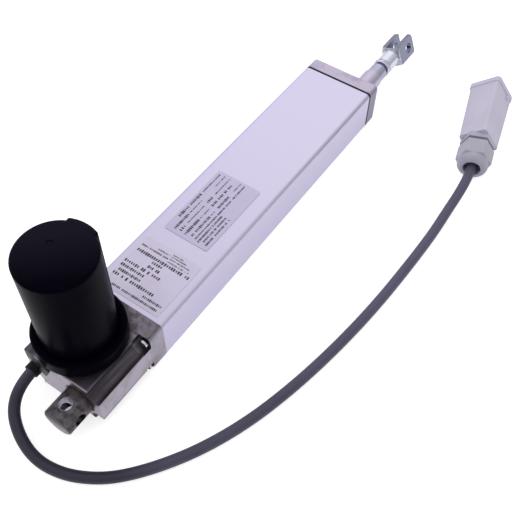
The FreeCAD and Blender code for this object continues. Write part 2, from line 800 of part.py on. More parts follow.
def cover_drum(name, radius):
    """A plain drum as high as the cover, with its top edge rounded."""
    drum = turned(name, tube_profile("0", radius, "cover_height"), on_motor("motor_base"), UPRIGHT)
    return round_ring(drum, (radius, "cover_height"), "cover_round")


def motor_cover():
    """A deep cap over the motor, with a shallow lobe down its front and a gate mark in its top."""
    reach = "cover_radius + lobe_rise"
    foot, head = "top + ring_height + snug", "motor_base + cover_height"
    band = block("cover_lobe_band", (reach, "lobe_width", f"{head} - ({foot})"),
                 ("motor_place + lobe_width / 2 * sin(lobe_turn * 1 deg)",
                  "worm_centre - lobe_width / 2 * cos(lobe_turn * 1 deg)", foot),
                 FreeCAD.Rotation(Z_AXIS, number("lobe_turn")))
    lobe = shared("cover_lobe", cover_drum("cover_lobe_drum", reach), band)
    doc.recompute()
    axis = FreeCAD.Vector(number("motor_place"), number("worm_centre"), 0)
    side = number("lobe_corner")
    rounded = doc.addObject("Part::Fillet", "cover_lobe_rounded")
    rounded.Base = lobe
    rounded.Edges = [(index, side, side) for index, edge in enumerate(lobe.Shape.Edges, start=1)
                     if edge.Length > number(f"({head} - ({foot})) / 2")
                     and math.hypot(*(edge.CenterOfMass - axis)[:2]) > number("cover_radius")]
    inside = rod("cover_inside", "cover_radius - cover_wall", "cover_height - cover_wall",
                 on_motor("motor_base"), UPRIGHT)
    gate_at = ("motor_place + gate_forward", "worm_centre + gate_left", f"{head} - gate_depth")
    gate = rod("cover_gate", "gate_radius", "gate_depth", gate_at, UPRIGHT)
    outside = joined("cover_outside", cover_drum("cover_drum", "cover_radius"), rounded)
    return cut("motor_cover", outside, inside, gate)


def motor_can():
    inner, ceiling = "can_radius - can_wall", "can_height - can_wall"
    profile = [(inner, "0"), ("can_radius", "0"), ("can_radius", "can_height"), ("0", "can_height"),
               ("0", ceiling), (inner, ceiling)]
    return turned("motor_can", profile, on_motor("motor_base"), UPRIGHT)


def motor_magnets():
    """Two arc magnets on the inside of the can, with a gap between them on each side."""
    profile = tube_profile("magnet_radius - magnet_thickness", "magnet_radius", "magnet_length",
                           "magnet_start")
    ring = turned("magnet_ring", profile, on_motor("motor_base"), UPRIGHT)
    gap = block("magnet_gap_cutter", ("2 * can_radius", "magnet_gap", "magnet_length"),
                ("motor_place - can_radius", "worm_centre - magnet_gap / 2", "motor_base + magnet_start"))
    return cut("motor_magnets", ring, gap)


def motor_shaft():
    foot = "loose - worm_drop - foot_length"
    length = f"motor_base + upper_bearing + motor_bearing_width - ({foot})"
    return turned("motor_shaft", tube_profile("0", "shaft_radius", length), on_motor(foot), UPRIGHT)


def armature():
    """The stack of laminations, with the windings' ends standing out at both ends."""
    low, high = "-winding_length", "armature_length + winding_length"
    profile = [("shaft_radius", low), ("winding_radius", low), ("winding_radius", "0"),
               ("armature_radius", "0"), ("armature_radius", "armature_length"),
               ("winding_radius", "armature_length"), ("winding_radius", high), ("shaft_radius", high)]
    return turned("armature", profile, on_motor("motor_base + armature_start"), UPRIGHT)


def commutator():
    return turned("commutator", tube_profile("shaft_radius", "commutator_radius", "commutator_length"),
                  on_motor("motor_base + commutator_start"), UPRIGHT)


def brush_holder():
    """The plate above the commutator, with a raised rim round the upper bearing."""
    bore, edge = "shaft_radius + loose", "can_radius - can_wall - snug"
    race, rim = "motor_bearing / 2", "motor_bearing / 2 + can_wall"
    high = "brush_plate + motor_bearing_width"
    profile = [(bore, "0"), (edge, "0"), (edge, "brush_plate"), (rim, "brush_plate"), (rim, high),
               (race, high), (race, "brush_plate"), (bore, "brush_plate")]
    return turned("brush_holder", profile, on_motor("motor_base + brush_start"), UPRIGHT)


def carbon_brushes():
    """Two brushes under the plate, one each side of the commutator."""
    inner = "commutator_radius + sliding"
    return group("carbon_brushes", [
        block(f"carbon_brush_{index}", ("brush_length", "brush_width", "brush_height"),
              (start, "worm_centre - brush_width / 2", "motor_base + brush_start - brush_height"))
        for index, start in enumerate((f"motor_place + {inner}", f"motor_place - ({inner}) - brush_length"))])


def screw_bearing(label, start):
    return ball_bearing(label, "journal_radius + running", "bearing_outer / 2", "bearing_width",
                        (start, "0", "0"))


def motor_bearing(label, height):
    return ball_bearing(label, "shaft_radius + running", "motor_bearing / 2", "motor_bearing_width",
                        on_motor(height), UPRIGHT)


def shaft_foot():
    return turned("shaft_foot", tube_profile("shaft_radius + running", "foot_radius", "foot_length"),
                  on_motor("-worm_drop - foot_length"), UPRIGHT)


def worm():
    """A right-hand thread on a sleeve round the shaft. Half way along it a crest faces the wheel."""
    first_turn = FreeCAD.Rotation(Z_AXIS, -90 - 360 * number("thread_rise / 2 / worm_lead"))
    body = turned("worm", tube_profile("shaft_radius", "worm_root", "worm_length", "-worm_length / 2"),
                  on_motor(), first_turn)
    crest, foot = "worm_radius + gear_module", "worm_root - thread_sink"
    start = "-thread_rise / 2"
    corners = [(foot, f"{start} - thread_foot"), (crest, f"{start} - thread_crest"),
               (crest, f"{start} + thread_crest"), (foot, f"{start} + thread_foot")]
    section = outline(body, "XZ_Plane", corners)
    thread = body.newObject("PartDesign::AdditiveHelix", "worm_thread")
    thread.Profile = section
    thread.ReferenceAxis = (section, ["V_Axis"])
    bind(thread, Pitch="worm_lead", Height="thread_rise")
    doc.recompute()
    starts = body.newObject("PartDesign::PolarPattern", "worm_threads")
    starts.Originals = [thread]
    starts.Axis = (plane(body, "Z_Axis"), [""])
    starts.Angle = 360
    starts.Occurrences = WORM_STARTS
    body.Tip = starts
    return body


# Cable gland, cable and plug

def cable_gland():
    bore, shank = "cable_diameter / 2 + snug", "gland_shank - running"
    profile = [(bore, "-gland_out"), ("gland_radius", "-gland_out"), ("gland_radius", "0"), (shank, "0"),
               (shank, "gland_depth"), ("0", "gland_depth"), ("0", "gland_grip"), (bore, "gland_grip")]
    return turned("cable_gland", profile, ("lug_reach", "gland_place", "gland_height"))


def gland_clip():
    turn = tilted(number("clip_tilt"))
    return extruded("gland_clip", centred("clip_width", "clip_length"), "clip_thickness",
                    ("lug_reach - clip_thickness", "left_side - clip_inset", "clip_height"), turn)


def plug_turn():
    yaw = FreeCAD.Rotation(Z_AXIS, number("plug_yaw"))
    pitch = FreeCAD.Rotation(-Y_AXIS, number("plug_pitch"))
    roll = FreeCAD.Rotation(X_AXIS, number("plug_roll"))
    return yaw.multiply(pitch).multiply(roll).multiply(ALONG_X)


PLUG_AT = ("plug_x", "plug_y", "plug_z")


def along_plug(distance):
    """The point on the plug's axis at a distance from the hood's gland end."""
    forward = plug_turn().multVec(Z_AXIS)
    return tuple(f"{name} + ({distance}) * {step:.9f}" for name, step in zip(PLUG_AT, forward))


def off_plug(distance, across, up):
    """A point along the plug's axis, set off from it by two distances."""
    turn = plug_turn()
    side, rise = turn.multVec(X_AXIS), turn.multVec(Y_AXIS)
    return tuple(f"{base} + ({across}) * {side[index]:.9f} + ({up}) * {rise[index]:.9f}"
                 for index, base in enumerate(along_plug(distance)))


def plug_hood():
    turn = plug_turn()
    shell = rounded_bar("hood_shell", "hood_width", "hood_width", "hood_length", "hood_corner", PLUG_AT, turn,
                        taper="hood_taper")
    rim_width = "hood_width + 2 * (hood_length * tan(hood_taper * 1 deg) + rim_overhang)"
    rim = rounded_bar("hood_rim", rim_width, rim_width, "rim_length", "hood_corner + rim_overhang",
                      along_plug("hood_length"), turn, front_edge="rim_edge", rear_edge="rim_edge")
    inner = "hood_width - 2 * hood_wall"
    cavity = extruded("hood_cavity", centred(inner, inner), "hood_length + rim_length - hood_end",
                      along_plug("hood_end"), turn)
    entry = rod("hood_entry", "gland_spigot", "hood_end", PLUG_AT, turn)
    peg_at = off_plug("hood_length - peg_gap - peg_radius", "-peg_offset", f"-({rim_width}) / 2")
    pegs = rod("hood_pegs", "peg_radius", rim_width, peg_at, turn.multiply(FreeCAD.Rotation(X_AXIS, -90)))
    return cut("plug_hood", joined("hood_solid", shell, rim, pegs), cavity, entry)


def contact_places():
    return [(f"{across} * contact_pitch", f"{up} * contact_pitch")
            for across, up in ((-1, -1), (1, -1), (1, 1), (-1, 1))]


def plug_insert():
    width = "hood_width - 2 * hood_wall - 2 * snug"
    solid = extruded("insert_block", centred(width, width), "insert_length", along_plug("insert_rear"),
                     plug_turn())
    holes = [contact_rod(f"insert_hole_{index}", "contact_radius", "insert_length", "insert_rear", across, up)
             for index, (across, up) in enumerate(contact_places())]
    return cut("plug_insert", solid, *holes)


def contact_rod(name, radius, length, start, across, up):
    """A round pin along the plug's axis, set off from it by two distances."""
    return rod(name, radius, length, off_plug(start, across, up), plug_turn())


def plug_contacts():
    return group("plug_contacts", [
        contact_rod(f"plug_contact_{index}", "contact_radius - running", "insert_length",
                    "insert_rear - snug", across, up)
        for index, (across, up) in enumerate(contact_places())])


def plug_gland_body():
    """The hexagon under the hood, with a spigot in the hood and a threaded collar for the nut."""
    turn = plug_turn()
    hexed = hexagon("gland_body_hexagon", "gland_flats", "gland_hex_length",
                    along_plug("-gland_hex_length"), turn)
    spigot = rod("gland_body_spigot", "gland_spigot - running", "hood_end", PLUG_AT, turn)
    collar = rod("gland_body_collar", "gland_thread", "nut_joint + gland_thread_reach",
                 along_plug("cable_end"), turn)
    return joined("plug_gland_body", hexed, spigot, collar)


def plug_gland_nut():
    """A hexagon nut with a domed end, over the collar of the gland's body."""
    turn = plug_turn()
    length = "nut_hex_length + nut_dome"
    at = along_plug(f"-gland_hex_length - nut_joint - ({length})")
    hexed = hexagon("gland_nut_hexagon", "nut_flats", length, at, turn)
    side, corner = "nut_flats / 2 - snug", "nut_flats / sqrt(3)"
    bore = "gland_thread + snug"
    shoulder = f"nut_dome + ({corner} - ({side})) * tan(nut_chamfer * 1 deg)"
    profile = [("nut_mouth", "0"), (side, "0"), (side, "nut_dome"), (corner, shoulder), (corner, length),
               (bore, length), (bore, "nut_dome"), ("nut_mouth", "nut_dome - nut_joint")]
    lathe = turned("gland_nut_lathe", profile, at, turn)
    round_ring(lathe, (side, "0"), "nut_dome_round")
    return shared("plug_gland_nut", hexed, lathe)


def plug_gland_seal():
    """A rubber ring between the gland's collar and the nut's dome, round the cable."""
    return turned("plug_gland_seal", tube_profile("cable_diameter / 2 + snug", "gland_thread", "seal_length"),
                  along_plug("cable_end - seal_length"), plug_turn())


def rounded_path(points):
    """Straight runs joined by tangent arcs, each as large as its two runs allow. Prints the radii."""
    edges = []
    start = points[0]
    radii = []
    for before, corner, after in zip(points, points[1:], points[2:]):
        back, ahead = before - corner, after - corner
        half_turn = (math.pi - back.getAngle(ahead)) / 2
        reach = 0.45 * min(back.Length, ahead.Length)
        radii.append(reach / math.tan(half_turn))
        back.normalize()
        ahead.normalize()
        enter, leave = corner + back * reach, corner + ahead * reach
        inward = (back + ahead).normalize()
        middle = corner + inward * (radii[-1] / math.cos(half_turn) - radii[-1])
        edges.append(Part.LineSegment(start, enter).toShape())
        edges.append(Part.Arc(enter, middle, leave).toShape())
        start = leave
    edges.append(Part.LineSegment(start, points[-1]).toShape())
    print("cable radii", [round(radius, 1) for radius in radii])
    return Part.Wire(edges)


def cable():
    """A plain tube along the route. Its first run lies on the gland's axis, its last on the plug's."""
    first = [("lug_reach + gland_grip", "gland_place", "gland_height"),
             ("lug_reach + gland_grip - cable_first_run", "gland_place", "gland_height")]
    last = [along_plug("cable_end - cable_last_run"), along_plug("cable_end")]
    starts, ends = ([tuple(number(formula) for formula in point) for point in pair] for pair in (first, last))
    points = [FreeCAD.Vector(*point) for point in starts + CABLE_ROUTE + ends]
    path = rounded_path(points)
    radius = number("cable_diameter") / 2
    section = Part.Wire(Part.makeCircle(radius, points[0], points[1] - points[0]))
    piece = doc.addObject("Part::Feature", "cable")
    piece.Shape = path.makePipeShell([section], True, True)
    share = piece.Shape.Volume / (math.pi * radius ** 2 * path.Length)
    print(f"cable length {path.Length:.1f}, volume over section times length {share:.4f}")
    return piece


def export():
    """Check every object and every node's shape, then write one STEP file for each node."""
    doc.recompute()
    failed = [item.Label for item in doc.Objects if {"Invalid", "Error"} & set(item.State)]
    bad = [piece.Label for piece in nodes if piece.Shape.isNull() or not piece.Shape.isValid()]
    if failed or bad:
        raise RuntimeError(f"failed objects {failed}, bad shapes {bad}")
    os.makedirs("parts", exist_ok=True)
    for piece in nodes:
        piece.Shape.exportStep(f"parts/{piece.Label}.step")
        print(f"{piece.Label}: {len(piece.Shape.Solids)} solid(s), {piece.Shape.Volume:.0f} mm3")


fill_sheet()
for make in (outer_tube, front_cap, front_gasket, rod_bush, rod_wiper, gearbox_housing, bearing_plate,
             rear_lug, lead_screw, wheel_spacer, worm_wheel, wheel_key, drive_nut, nut_slider, push_rod,
             rod_nose, lock_nut, fork_head, switch_rail, limit_switches, motor_ring, motor_cover, motor_can,
             motor_magnets, motor_shaft, armature, commutator, brush_holder, carbon_brushes, shaft_foot, worm,
             cable_gland, gland_clip, plug_hood, plug_insert, plug_contacts, plug_gland_body, plug_gland_nut,
             plug_gland_seal, cable):
    node(make())
node(screw_bearing("rear_bearing", "shank_end"))
node(screw_bearing("front_bearing", "plate_rear"))
node(motor_bearing("lower_motor_bearing", "motor_base - motor_bearing_width"))
node(motor_bearing("upper_motor_bearing", "motor_base + upper_bearing"))
node(corner_screws("cap_screws", "cap_front - screw_head_height - loose",
                   "cap_thickness - screw_head_height - loose + gasket_thickness + screw_grip", False))
node(corner_screws("housing_screws", "flange_rear + pocket_depth",
                   "flange_thickness - pocket_depth + screw_grip", True))
export()
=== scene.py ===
# %% [markdown]
# An electric lift cylinder on a white table
#
# The object is a linear actuator: a motor standing on a cast gearbox, a long extruded tube, and a push rod
# with a fork on its end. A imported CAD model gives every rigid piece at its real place. This lesson gives
# those pieces their surfaces, and adds what drawings leave to the finish: the cable's smooth curve, two thin
# plates with their print, and a thread.

# %% Load the frame
import math

import bmesh
import bpy
from mathutils import Matrix, Vector


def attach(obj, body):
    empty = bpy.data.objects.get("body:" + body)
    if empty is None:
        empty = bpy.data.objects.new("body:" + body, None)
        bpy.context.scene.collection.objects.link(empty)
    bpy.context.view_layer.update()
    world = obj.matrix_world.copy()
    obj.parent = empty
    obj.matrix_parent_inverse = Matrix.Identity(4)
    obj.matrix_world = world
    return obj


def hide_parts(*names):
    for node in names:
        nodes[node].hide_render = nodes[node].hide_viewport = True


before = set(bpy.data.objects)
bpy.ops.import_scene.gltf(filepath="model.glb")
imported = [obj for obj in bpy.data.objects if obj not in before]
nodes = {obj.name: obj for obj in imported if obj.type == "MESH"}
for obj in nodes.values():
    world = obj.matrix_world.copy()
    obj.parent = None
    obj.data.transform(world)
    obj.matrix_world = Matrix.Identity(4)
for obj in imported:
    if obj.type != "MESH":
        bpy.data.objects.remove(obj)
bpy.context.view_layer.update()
MM = 0.001
print("CAD pieces:", len(nodes))

# %% [markdown]
# Colours are written as sRGB hex values, the way a colour picker shows them. Blender's shaders work in linear
# light, so one function turns them. Another adds a node and wires it up, in shaders and in Geometry Nodes
# alike, which keeps each recipe short. Two more start a material and open it again, because dirt is laid over
# a finish that is already there.

# %% Helpers for nodes and materials


def linear(hex_colour):
    """A hex sRGB colour as linear red, green, blue and alpha."""
    channels = [int(hex_colour[i:i + 2], 16) / 255 for i in (1, 3, 5)]
    return (*(c / 12.92 if c <= 0.04045 else ((c + 0.055) / 1.055) ** 2.4 for c in channels), 1.0)


def add(tree, kind, inputs=(), **settings):
    """Add a node, set its properties, then set each input to a value or link it to an output.

    A node in place of an output stands for its first one.
    """
    node = tree.nodes.new(kind)
    for name, value in settings.items():
        setattr(node, name, value)
    for socket, value in dict(inputs).items():
        if isinstance(value, bpy.types.Node):
            value = value.outputs[0]
        if isinstance(value, bpy.types.NodeSocket):
            tree.links.new(value, node.inputs[socket])
        else:
            node.inputs[socket].default_value = value
    return node


def surface(name, colour, metallic=0.0, roughness=0.5, specular=0.5):
    """A new material with its Principled shader set, and an output that gives places on the piece."""
    material = bpy.data.materials.new(name)
    material.use_nodes = True
    tree = material.node_tree
    shader = tree.nodes["Principled BSDF"]
    shader.inputs["Base Color"].default_value = linear(colour)
    shader.inputs["Metallic"].default_value = metallic
    shader.inputs["Roughness"].default_value = roughness
    shader.inputs["Specular IOR Level"].default_value = specular
    place = add(tree, "ShaderNodeTexCoord").outputs["Object"]
    return material, tree, shader, place


def reopened(material):
    """A material's tree and shader, and the places and normals of the piece, to lay more on top."""
    tree = material.node_tree
    return tree, tree.nodes["Principled BSDF"], add(tree, "ShaderNodeTexCoord").outputs


def per(millimetres):
    """A texture scale whose features are about this many millimetres across."""
    return 1 / (millimetres * MM)


# The two colour inputs and the colour output of a Mix node that mixes colours
MIX_A, MIX_B, MIX_OUT = 6, 7, 2
print("mid grey #808080 in linear light:", round(linear("#808080")[0], 3))

# %% [markdown]
# The camera stands where the photographer stood: above the gearbox end, looking down along the tube. Its
# place, aim and lens were worked out from the tube's straight edges, so the render has the same perspective.

# %% Camera
CAMERA_PLACE = Vector((-118.7, -241.2, 511.2)) * MM
CAMERA_AIM = Vector((0.4909, 0.3239, -0.8088))
CAMERA_UP = Vector((0.6607, 0.4668, 0.5879))
LENS_MM = 52.545
SENSOR_MM = 36.0

camera = bpy.data.objects.new("camera", bpy.data.cameras.new("camera"))
camera.data.lens = LENS_MM
camera.data.sensor_width = SENSOR_MM
across = CAMERA_AIM.cross(CAMERA_UP).normalized()
camera.matrix_world = Matrix.Translation(CAMERA_PLACE) @ Matrix(
    (across, CAMERA_UP, -CAMERA_AIM)).transposed().to_4x4()
bpy.context.scene.collection.objects.link(camera)
bpy.context.scene.camera = camera
bpy.context.scene.view_settings.view_transform = "Standard"
print("camera at", tuple(round(v, 3) for v in CAMERA_PLACE))

# %% [markdown]
# The plastics differ mostly in gloss and grain: the plug's hood is powder coated with its fine orange peel,
# its gland is plain polyamide, and seals are dull rubber. One function makes them all, from the size of the
# grain. Moulds have no sharp corners, and a Bevel node shades the edges as if they were round. Pieces inside
# the tube, the gearbox and the motor are hidden here, but they are part of the model and are finished too.

# %% Plastics, paint and rubber
PEEL_STRENGTH = 0.3
DRIFT_ACROSS = 22


def moulded(name, colour, tint, roughness, grain, depth, specular=0.5, edge=0.4):
    """A moulded or coated surface: a grain raised by depth, a slight drift of colour, and edges rounded.

    The grain's size, its depth and the edges' radius are in millimetres.
    """
    material, tree, shader, place = surface(name, colour, roughness=roughness, specular=specular)
    peel = add(tree, "ShaderNodeTexNoise", {"Vector": place, "Scale": per(grain), "Detail": 2.0})
    soft = add(tree, "ShaderNodeBevel", {"Radius": edge * MM}, samples=6)
    bump = add(tree, "ShaderNodeBump", {"Height": peel, "Strength": PEEL_STRENGTH,
                                        "Distance": depth * MM, "Normal": soft})
    tree.links.new(bump.outputs[0], shader.inputs["Normal"])
    drift = add(tree, "ShaderNodeTexNoise", {"Vector": place, "Scale": per(DRIFT_ACROSS), "Detail": 5.0})
    amount = add(tree, "ShaderNodeMapRange", {"Value": drift, "From Min": 0.4, "From Max": 0.75})
    mixed = add(tree, "ShaderNodeMix", {0: amount, MIX_A: linear(colour), MIX_B: linear(tint)},
                data_type="RGBA")
    tree.links.new(mixed.outputs[MIX_OUT], shader.inputs["Base Color"])
    return material


def dress(material, *names):
    """Give CAD pieces their finish."""
    for name in names:
        nodes[name].data.materials.clear()
        nodes[name].data.materials.append(material)
    print(material.name, "on", ", ".join(names))


# Pale lilac grey with fine orange peel
dress(moulded("powder_coat", "#CFC9DF", "#C8C2D7", roughness=0.48, grain=0.7, depth=0.05), "plug_hood")
# Smooth, a little darker and less blue than the hood
dress(moulded("polyamide", "#B3B0C2", "#A9A6B8", roughness=0.44, grain=0.5, depth=0.02),
      "plug_gland_body", "plug_gland_nut")
# Plain mid grey inside the plug
dress(moulded("insert_plastic", "#8F9094", "#86878B", roughness=0.5, grain=0.5, depth=0.02), "plug_insert")
# Black and dull, with hardly a highlight
dress(moulded("black_rubber", "#0C0C0E", "#141316", roughness=0.6, grain=0.5, depth=0.03, specular=0.25),
      "front_gasket", "rod_wiper", "cable_gland", "plug_gland_seal")
# Dark grey, between the rubber and the cable
dress(moulded("dark_plastic", "#2E2D31", "#3A383C", roughness=0.5, grain=0.5, depth=0.03),
      "gland_clip", "limit_switches", "brush_holder")
# Slippery cream white
dress(moulded("acetal", "#DCD7C8", "#D2CCBA", roughness=0.4, grain=0.8, depth=0.02),
      "drive_nut", "nut_slider")
# Dark and powdery, as pressed magnets and carbon are
dress(moulded("ferrite", "#3A3838", "#2E2C2C", roughness=0.6, grain=0.4, depth=0.03),
      "motor_magnets", "carbon_brushes")

# %% [markdown]
# The cable is a loose, medium stiff lead in a grey PVC jacket. A tube swept along straight runs would look
# like bent wire, so it is one smooth line: a NURBS spline with a round bevel. Its control points follow the
# CAD route, and near the gland they were moved a little to lie as the real cable does. It leaves the
# gland, drops to the table behind the lug, and runs forward to the plug.

# %% Cable
CABLE_DIAMETER = 9.0 * MM
CABLE_REST = -16.75
CABLE_ROUTE_MM = [
    (14.6, 44.4, 0.5),
    (-1.8, 44.4, 0.5),
    (-20.7, 36.6, -2.5),
    (-32.3, 20.9, -10.1),
    (-37.7, 0.4, -15.7),
    (-34.3, -21.7, CABLE_REST),
    (-24.6, -41.5, CABLE_REST),
    (-11.6, -57.5, CABLE_REST),
    (10.9, -75.6, CABLE_REST),
    (39.8, -93.0, CABLE_REST),
    (77.1, -108.4, CABLE_REST),
    (120.7, -119.9, CABLE_REST),
    (168.1, -128.5, CABLE_REST),
    (218.7, -134.4, CABLE_REST),
    (269.3, -137.2, CABLE_REST),
    (312.9, -138.4, CABLE_REST),
    (341.5, -137.6, -15.2),
    (364.0, -138.2, -9.0),
    (387.59, -136.67, -3.67),
    (410.74, -130.4, -2.83),
]
SHADED_TO = 15 * MM
SHADE_SHARE = 0.9
PALE_FROM = 80 * MM
PALE_TO = 230 * MM
PALE_SHARE = 0.4


def pvc_jacket():
    """Soft grey PVC, smooth but not glossy: darker towards the gearbox as painted shade, paler further on."""
    material = moulded("pvc_jacket", "#45435A", "#3D3B4E", roughness=0.5, grain=0.9, depth=0.03)
    tree, shader, piece = reopened(material)
    fresh = shader.inputs["Base Color"].links[0].from_socket
    x = add(tree, "ShaderNodeSeparateXYZ", {0: piece["Object"]}).outputs["X"]
    # Painted shade: the jacket darkens towards its gearbox end.
    painted_shade = add(tree, "ShaderNodeMapRange", {"Value": x, "From Min": SHADED_TO, "From Max": -SHADED_TO,
                                           "To Max": SHADE_SHARE})
    toned = add(tree, "ShaderNodeMix", {0: painted_shade, MIX_A: fresh, MIX_B: linear("#1D1B30")}, data_type="RGBA")
    paler = add(tree, "ShaderNodeMapRange", {"Value": x, "From Min": PALE_FROM, "From Max": PALE_TO,
                                           "To Max": PALE_SHARE})
    colour = add(tree, "ShaderNodeMix", {0: paler, MIX_A: toned.outputs[MIX_OUT],
                                         MIX_B: linear("#66637F")}, data_type="RGBA")
    tree.links.new(colour.outputs[MIX_OUT], shader.inputs["Base Color"])
    return material


line = bpy.data.curves.new("cable_jacket", "CURVE")
line.dimensions = "3D"
line.resolution_u = 10
line.bevel_depth = CABLE_DIAMETER / 2
line.bevel_resolution = 6
line.use_fill_caps = True
line.materials.append(pvc_jacket())
spline = line.splines.new("NURBS")
spline.points.add(len(CABLE_ROUTE_MM) - 1)
for point, place_mm in zip(spline.points, CABLE_ROUTE_MM):
    point.co = (*(v * MM for v in place_mm), 1.0)
spline.order_u = 3
spline.use_endpoint_u = True
cable = bpy.data.objects.new("cable_jacket", line)
bpy.context.scene.collection.objects.link(cable)
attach(cable, "housing")
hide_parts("cable")
print("cable points:", len(CABLE_ROUTE_MM))

# %% [markdown]
# A product photo is taken in a light tent: a bright roof, walls that are a little dimmer, and a white table.
# Metal shows all three, which is why the tube's rounded edge looks darker than its flat faces. The world is
# that tent, as a gradient on the direction that leans to the brighter side. One large lamp above the far end
# adds a slow change of light. The table is white to the camera and in reflections, and still takes the
# shadow. The tent is white to the camera too, so no horizon shows behind the object.

# %% Floor and light
FLOOR_Z = -21.25 * MM
FLOOR_SIZE = 40.0
WALL_LEVEL = 0.5
ROOF_LEVEL = 0.93
ROOF_LEAN = (0.1, 0.35, 0.93)
ROOF_START = 0.75
LAMP_POWER = 1.5
LAMP_SIZE = 1.2
LAMP_PLACE = Vector((1.35, 0.45, 0.85))
LAMP_TARGET = Vector((0.3, 0.0, 0.0))
FLOOR_GLOW = 0.36
TABLE_WHITE = 0.6
FIBRE_ACROSS = 0.5
FIBRE_DEPTH = 0.02 * MM

world = bpy.data.worlds.new("light_tent")
world.use_nodes = True
bpy.context.scene.world = world
tent = world.node_tree
direction = add(tent, "ShaderNodeTexCoord").outputs["Generated"]
height = add(tent, "ShaderNodeVectorMath", {0: direction, 1: ROOF_LEAN}, operation="DOT_PRODUCT")
level = add(tent, "ShaderNodeMapRange", {"Value": height.outputs["Value"], "From Max": ROOF_START,
                                         "To Min": WALL_LEVEL, "To Max": ROOF_LEVEL})
seen = add(tent, "ShaderNodeLightPath").outputs["Is Camera Ray"]
strength = add(tent, "ShaderNodeMath", {0: level, 1: seen}, operation="MAXIMUM")
tent.nodes["Background"].inputs["Color"].default_value = linear("#FFFFFF")
tent.links.new(strength.outputs[0], tent.nodes["Background"].inputs["Strength"])

lamp = bpy.data.objects.new("soft_box", bpy.data.lights.new("soft_box", "AREA"))
lamp.data.size = LAMP_SIZE
lamp.data.energy = LAMP_POWER
lamp.location = LAMP_PLACE
lamp.rotation_euler = (LAMP_TARGET - LAMP_PLACE).to_track_quat("-Z", "Y").to_euler()
bpy.context.scene.collection.objects.link(lamp)


def white_table():
    """Matt paper that is white to the camera and in metal, with the object's shadow left on it."""
    material, tree, shader, place = surface("white_paper", "#F4F4F6", roughness=0.9)
    fibres = add(tree, "ShaderNodeTexNoise", {"Vector": place, "Scale": per(FIBRE_ACROSS)})
    bump = add(tree, "ShaderNodeBump", {"Height": fibres, "Strength": 0.1, "Distance": FIBRE_DEPTH})
    tree.links.new(bump.outputs[0], shader.inputs["Normal"])
    rays = add(tree, "ShaderNodeLightPath").outputs
    white = add(tree, "ShaderNodeMapRange", {"Value": rays["Is Camera Ray"], "To Min": FLOOR_GLOW,
                                             "To Max": TABLE_WHITE})
    glow = add(tree, "ShaderNodeEmission", {"Color": linear("#FFFFFF"), "Strength": white})
    both = add(tree, "ShaderNodeAddShader", {0: shader, 1: glow})
    mirrored = add(tree, "ShaderNodeMath", {0: rays["Is Glossy Ray"], 1: rays["Is Transmission Ray"]},
                   operation="MAXIMUM")
    shown = add(tree, "ShaderNodeMath", {0: rays["Is Camera Ray"], 1: mirrored}, operation="MAXIMUM")
    mix = add(tree, "ShaderNodeMixShader", {0: shown, 1: shader, 2: both})
    tree.links.new(mix.outputs[0], tree.nodes["Material Output"].inputs["Surface"])
    return material


half = FLOOR_SIZE / 2
floor_mesh = bpy.data.meshes.new("floor")
floor_mesh.from_pydata([(-half, -half, FLOOR_Z), (half, -half, FLOOR_Z), (half, half, FLOOR_Z),
                        (-half, half, FLOOR_Z)], [], [(0, 1, 2, 3)])
floor_mesh.materials.append(white_table())
floor = bpy.data.objects.new("floor", floor_mesh)
bpy.context.scene.collection.objects.link(floor)
print("tent from", WALL_LEVEL, "to", ROOF_LEVEL)

# %% [markdown]
# The tube is extruded aluminium with a satin anodised skin. The die leaves faint lines along its length, and
# handling leaves short grey scuffs. Lines and scuffs could be painted, but noise stretched along X gives
# both, one fine and one sparse, on every side of the tube.

# %% Anodised aluminium
DIE_LINES = (per(60), per(0.7), per(0.7))
DIE_LINE_DEPTH = 0.05 * MM
SCUFFS = (per(14), per(2.5), per(2.5))
SCUFF_SHARE = 0.4


def anodised_aluminium(colour, scuffed):
    """Extruded, etched and anodised: pale, satin, with die lines that only show where light grazes."""
    material, tree, shader, place = surface("anodised_aluminium", colour, metallic=1.0, roughness=0.36)
    stretched = add(tree, "ShaderNodeMapping", {"Vector": place, "Scale": DIE_LINES})
    lines = add(tree, "ShaderNodeTexNoise", {"Vector": stretched, "Scale": 1.0, "Detail": 2.0})
    bump = add(tree, "ShaderNodeBump", {"Height": lines, "Strength": 0.12, "Distance": DIE_LINE_DEPTH})
    tree.links.new(bump.outputs[0], shader.inputs["Normal"])
    marks = add(tree, "ShaderNodeMapping", {"Vector": place, "Scale": SCUFFS})
    scuffs = add(tree, "ShaderNodeTexNoise", {"Vector": marks, "Scale": 1.0, "Detail": 5.0,
                                              "Roughness": 0.65})
    amount = add(tree, "ShaderNodeMapRange", {"Value": scuffs, "From Min": 0.66, "From Max": 0.78,
                                              "To Max": SCUFF_SHARE})
    mixed = add(tree, "ShaderNodeMix", {0: amount, MIX_A: linear(colour), MIX_B: linear(scuffed)},
                data_type="RGBA")
    tree.links.new(mixed.outputs[MIX_OUT], shader.inputs["Base Color"])
    return material


tube_finish = anodised_aluminium("#CAC4DD", "#8F8A98")
print("made", tube_finish.name)

# %% [markdown]
# The gearbox and the front cap are castings that were tumbled: a fine grain all over, and patches of a darker
# grey where oil and handling stayed in the pores. Their edges are painted bright, as wear and as a painted
# highlight. A Bevel node finds those edges: it rounds the normal near them, so the two normals part there and
# only there. The cap's sides are painted darker than its top, as painted shade.

# %% Cast aluminium
CAST_GRAIN = 0.8
CAST_GRAIN_DEPTH = 0.06 * MM
CLOUD_ACROSS = 16
CLOUD_SHARE = 0.7
BRIGHT_EDGE_WIDTH = 0.7 * MM


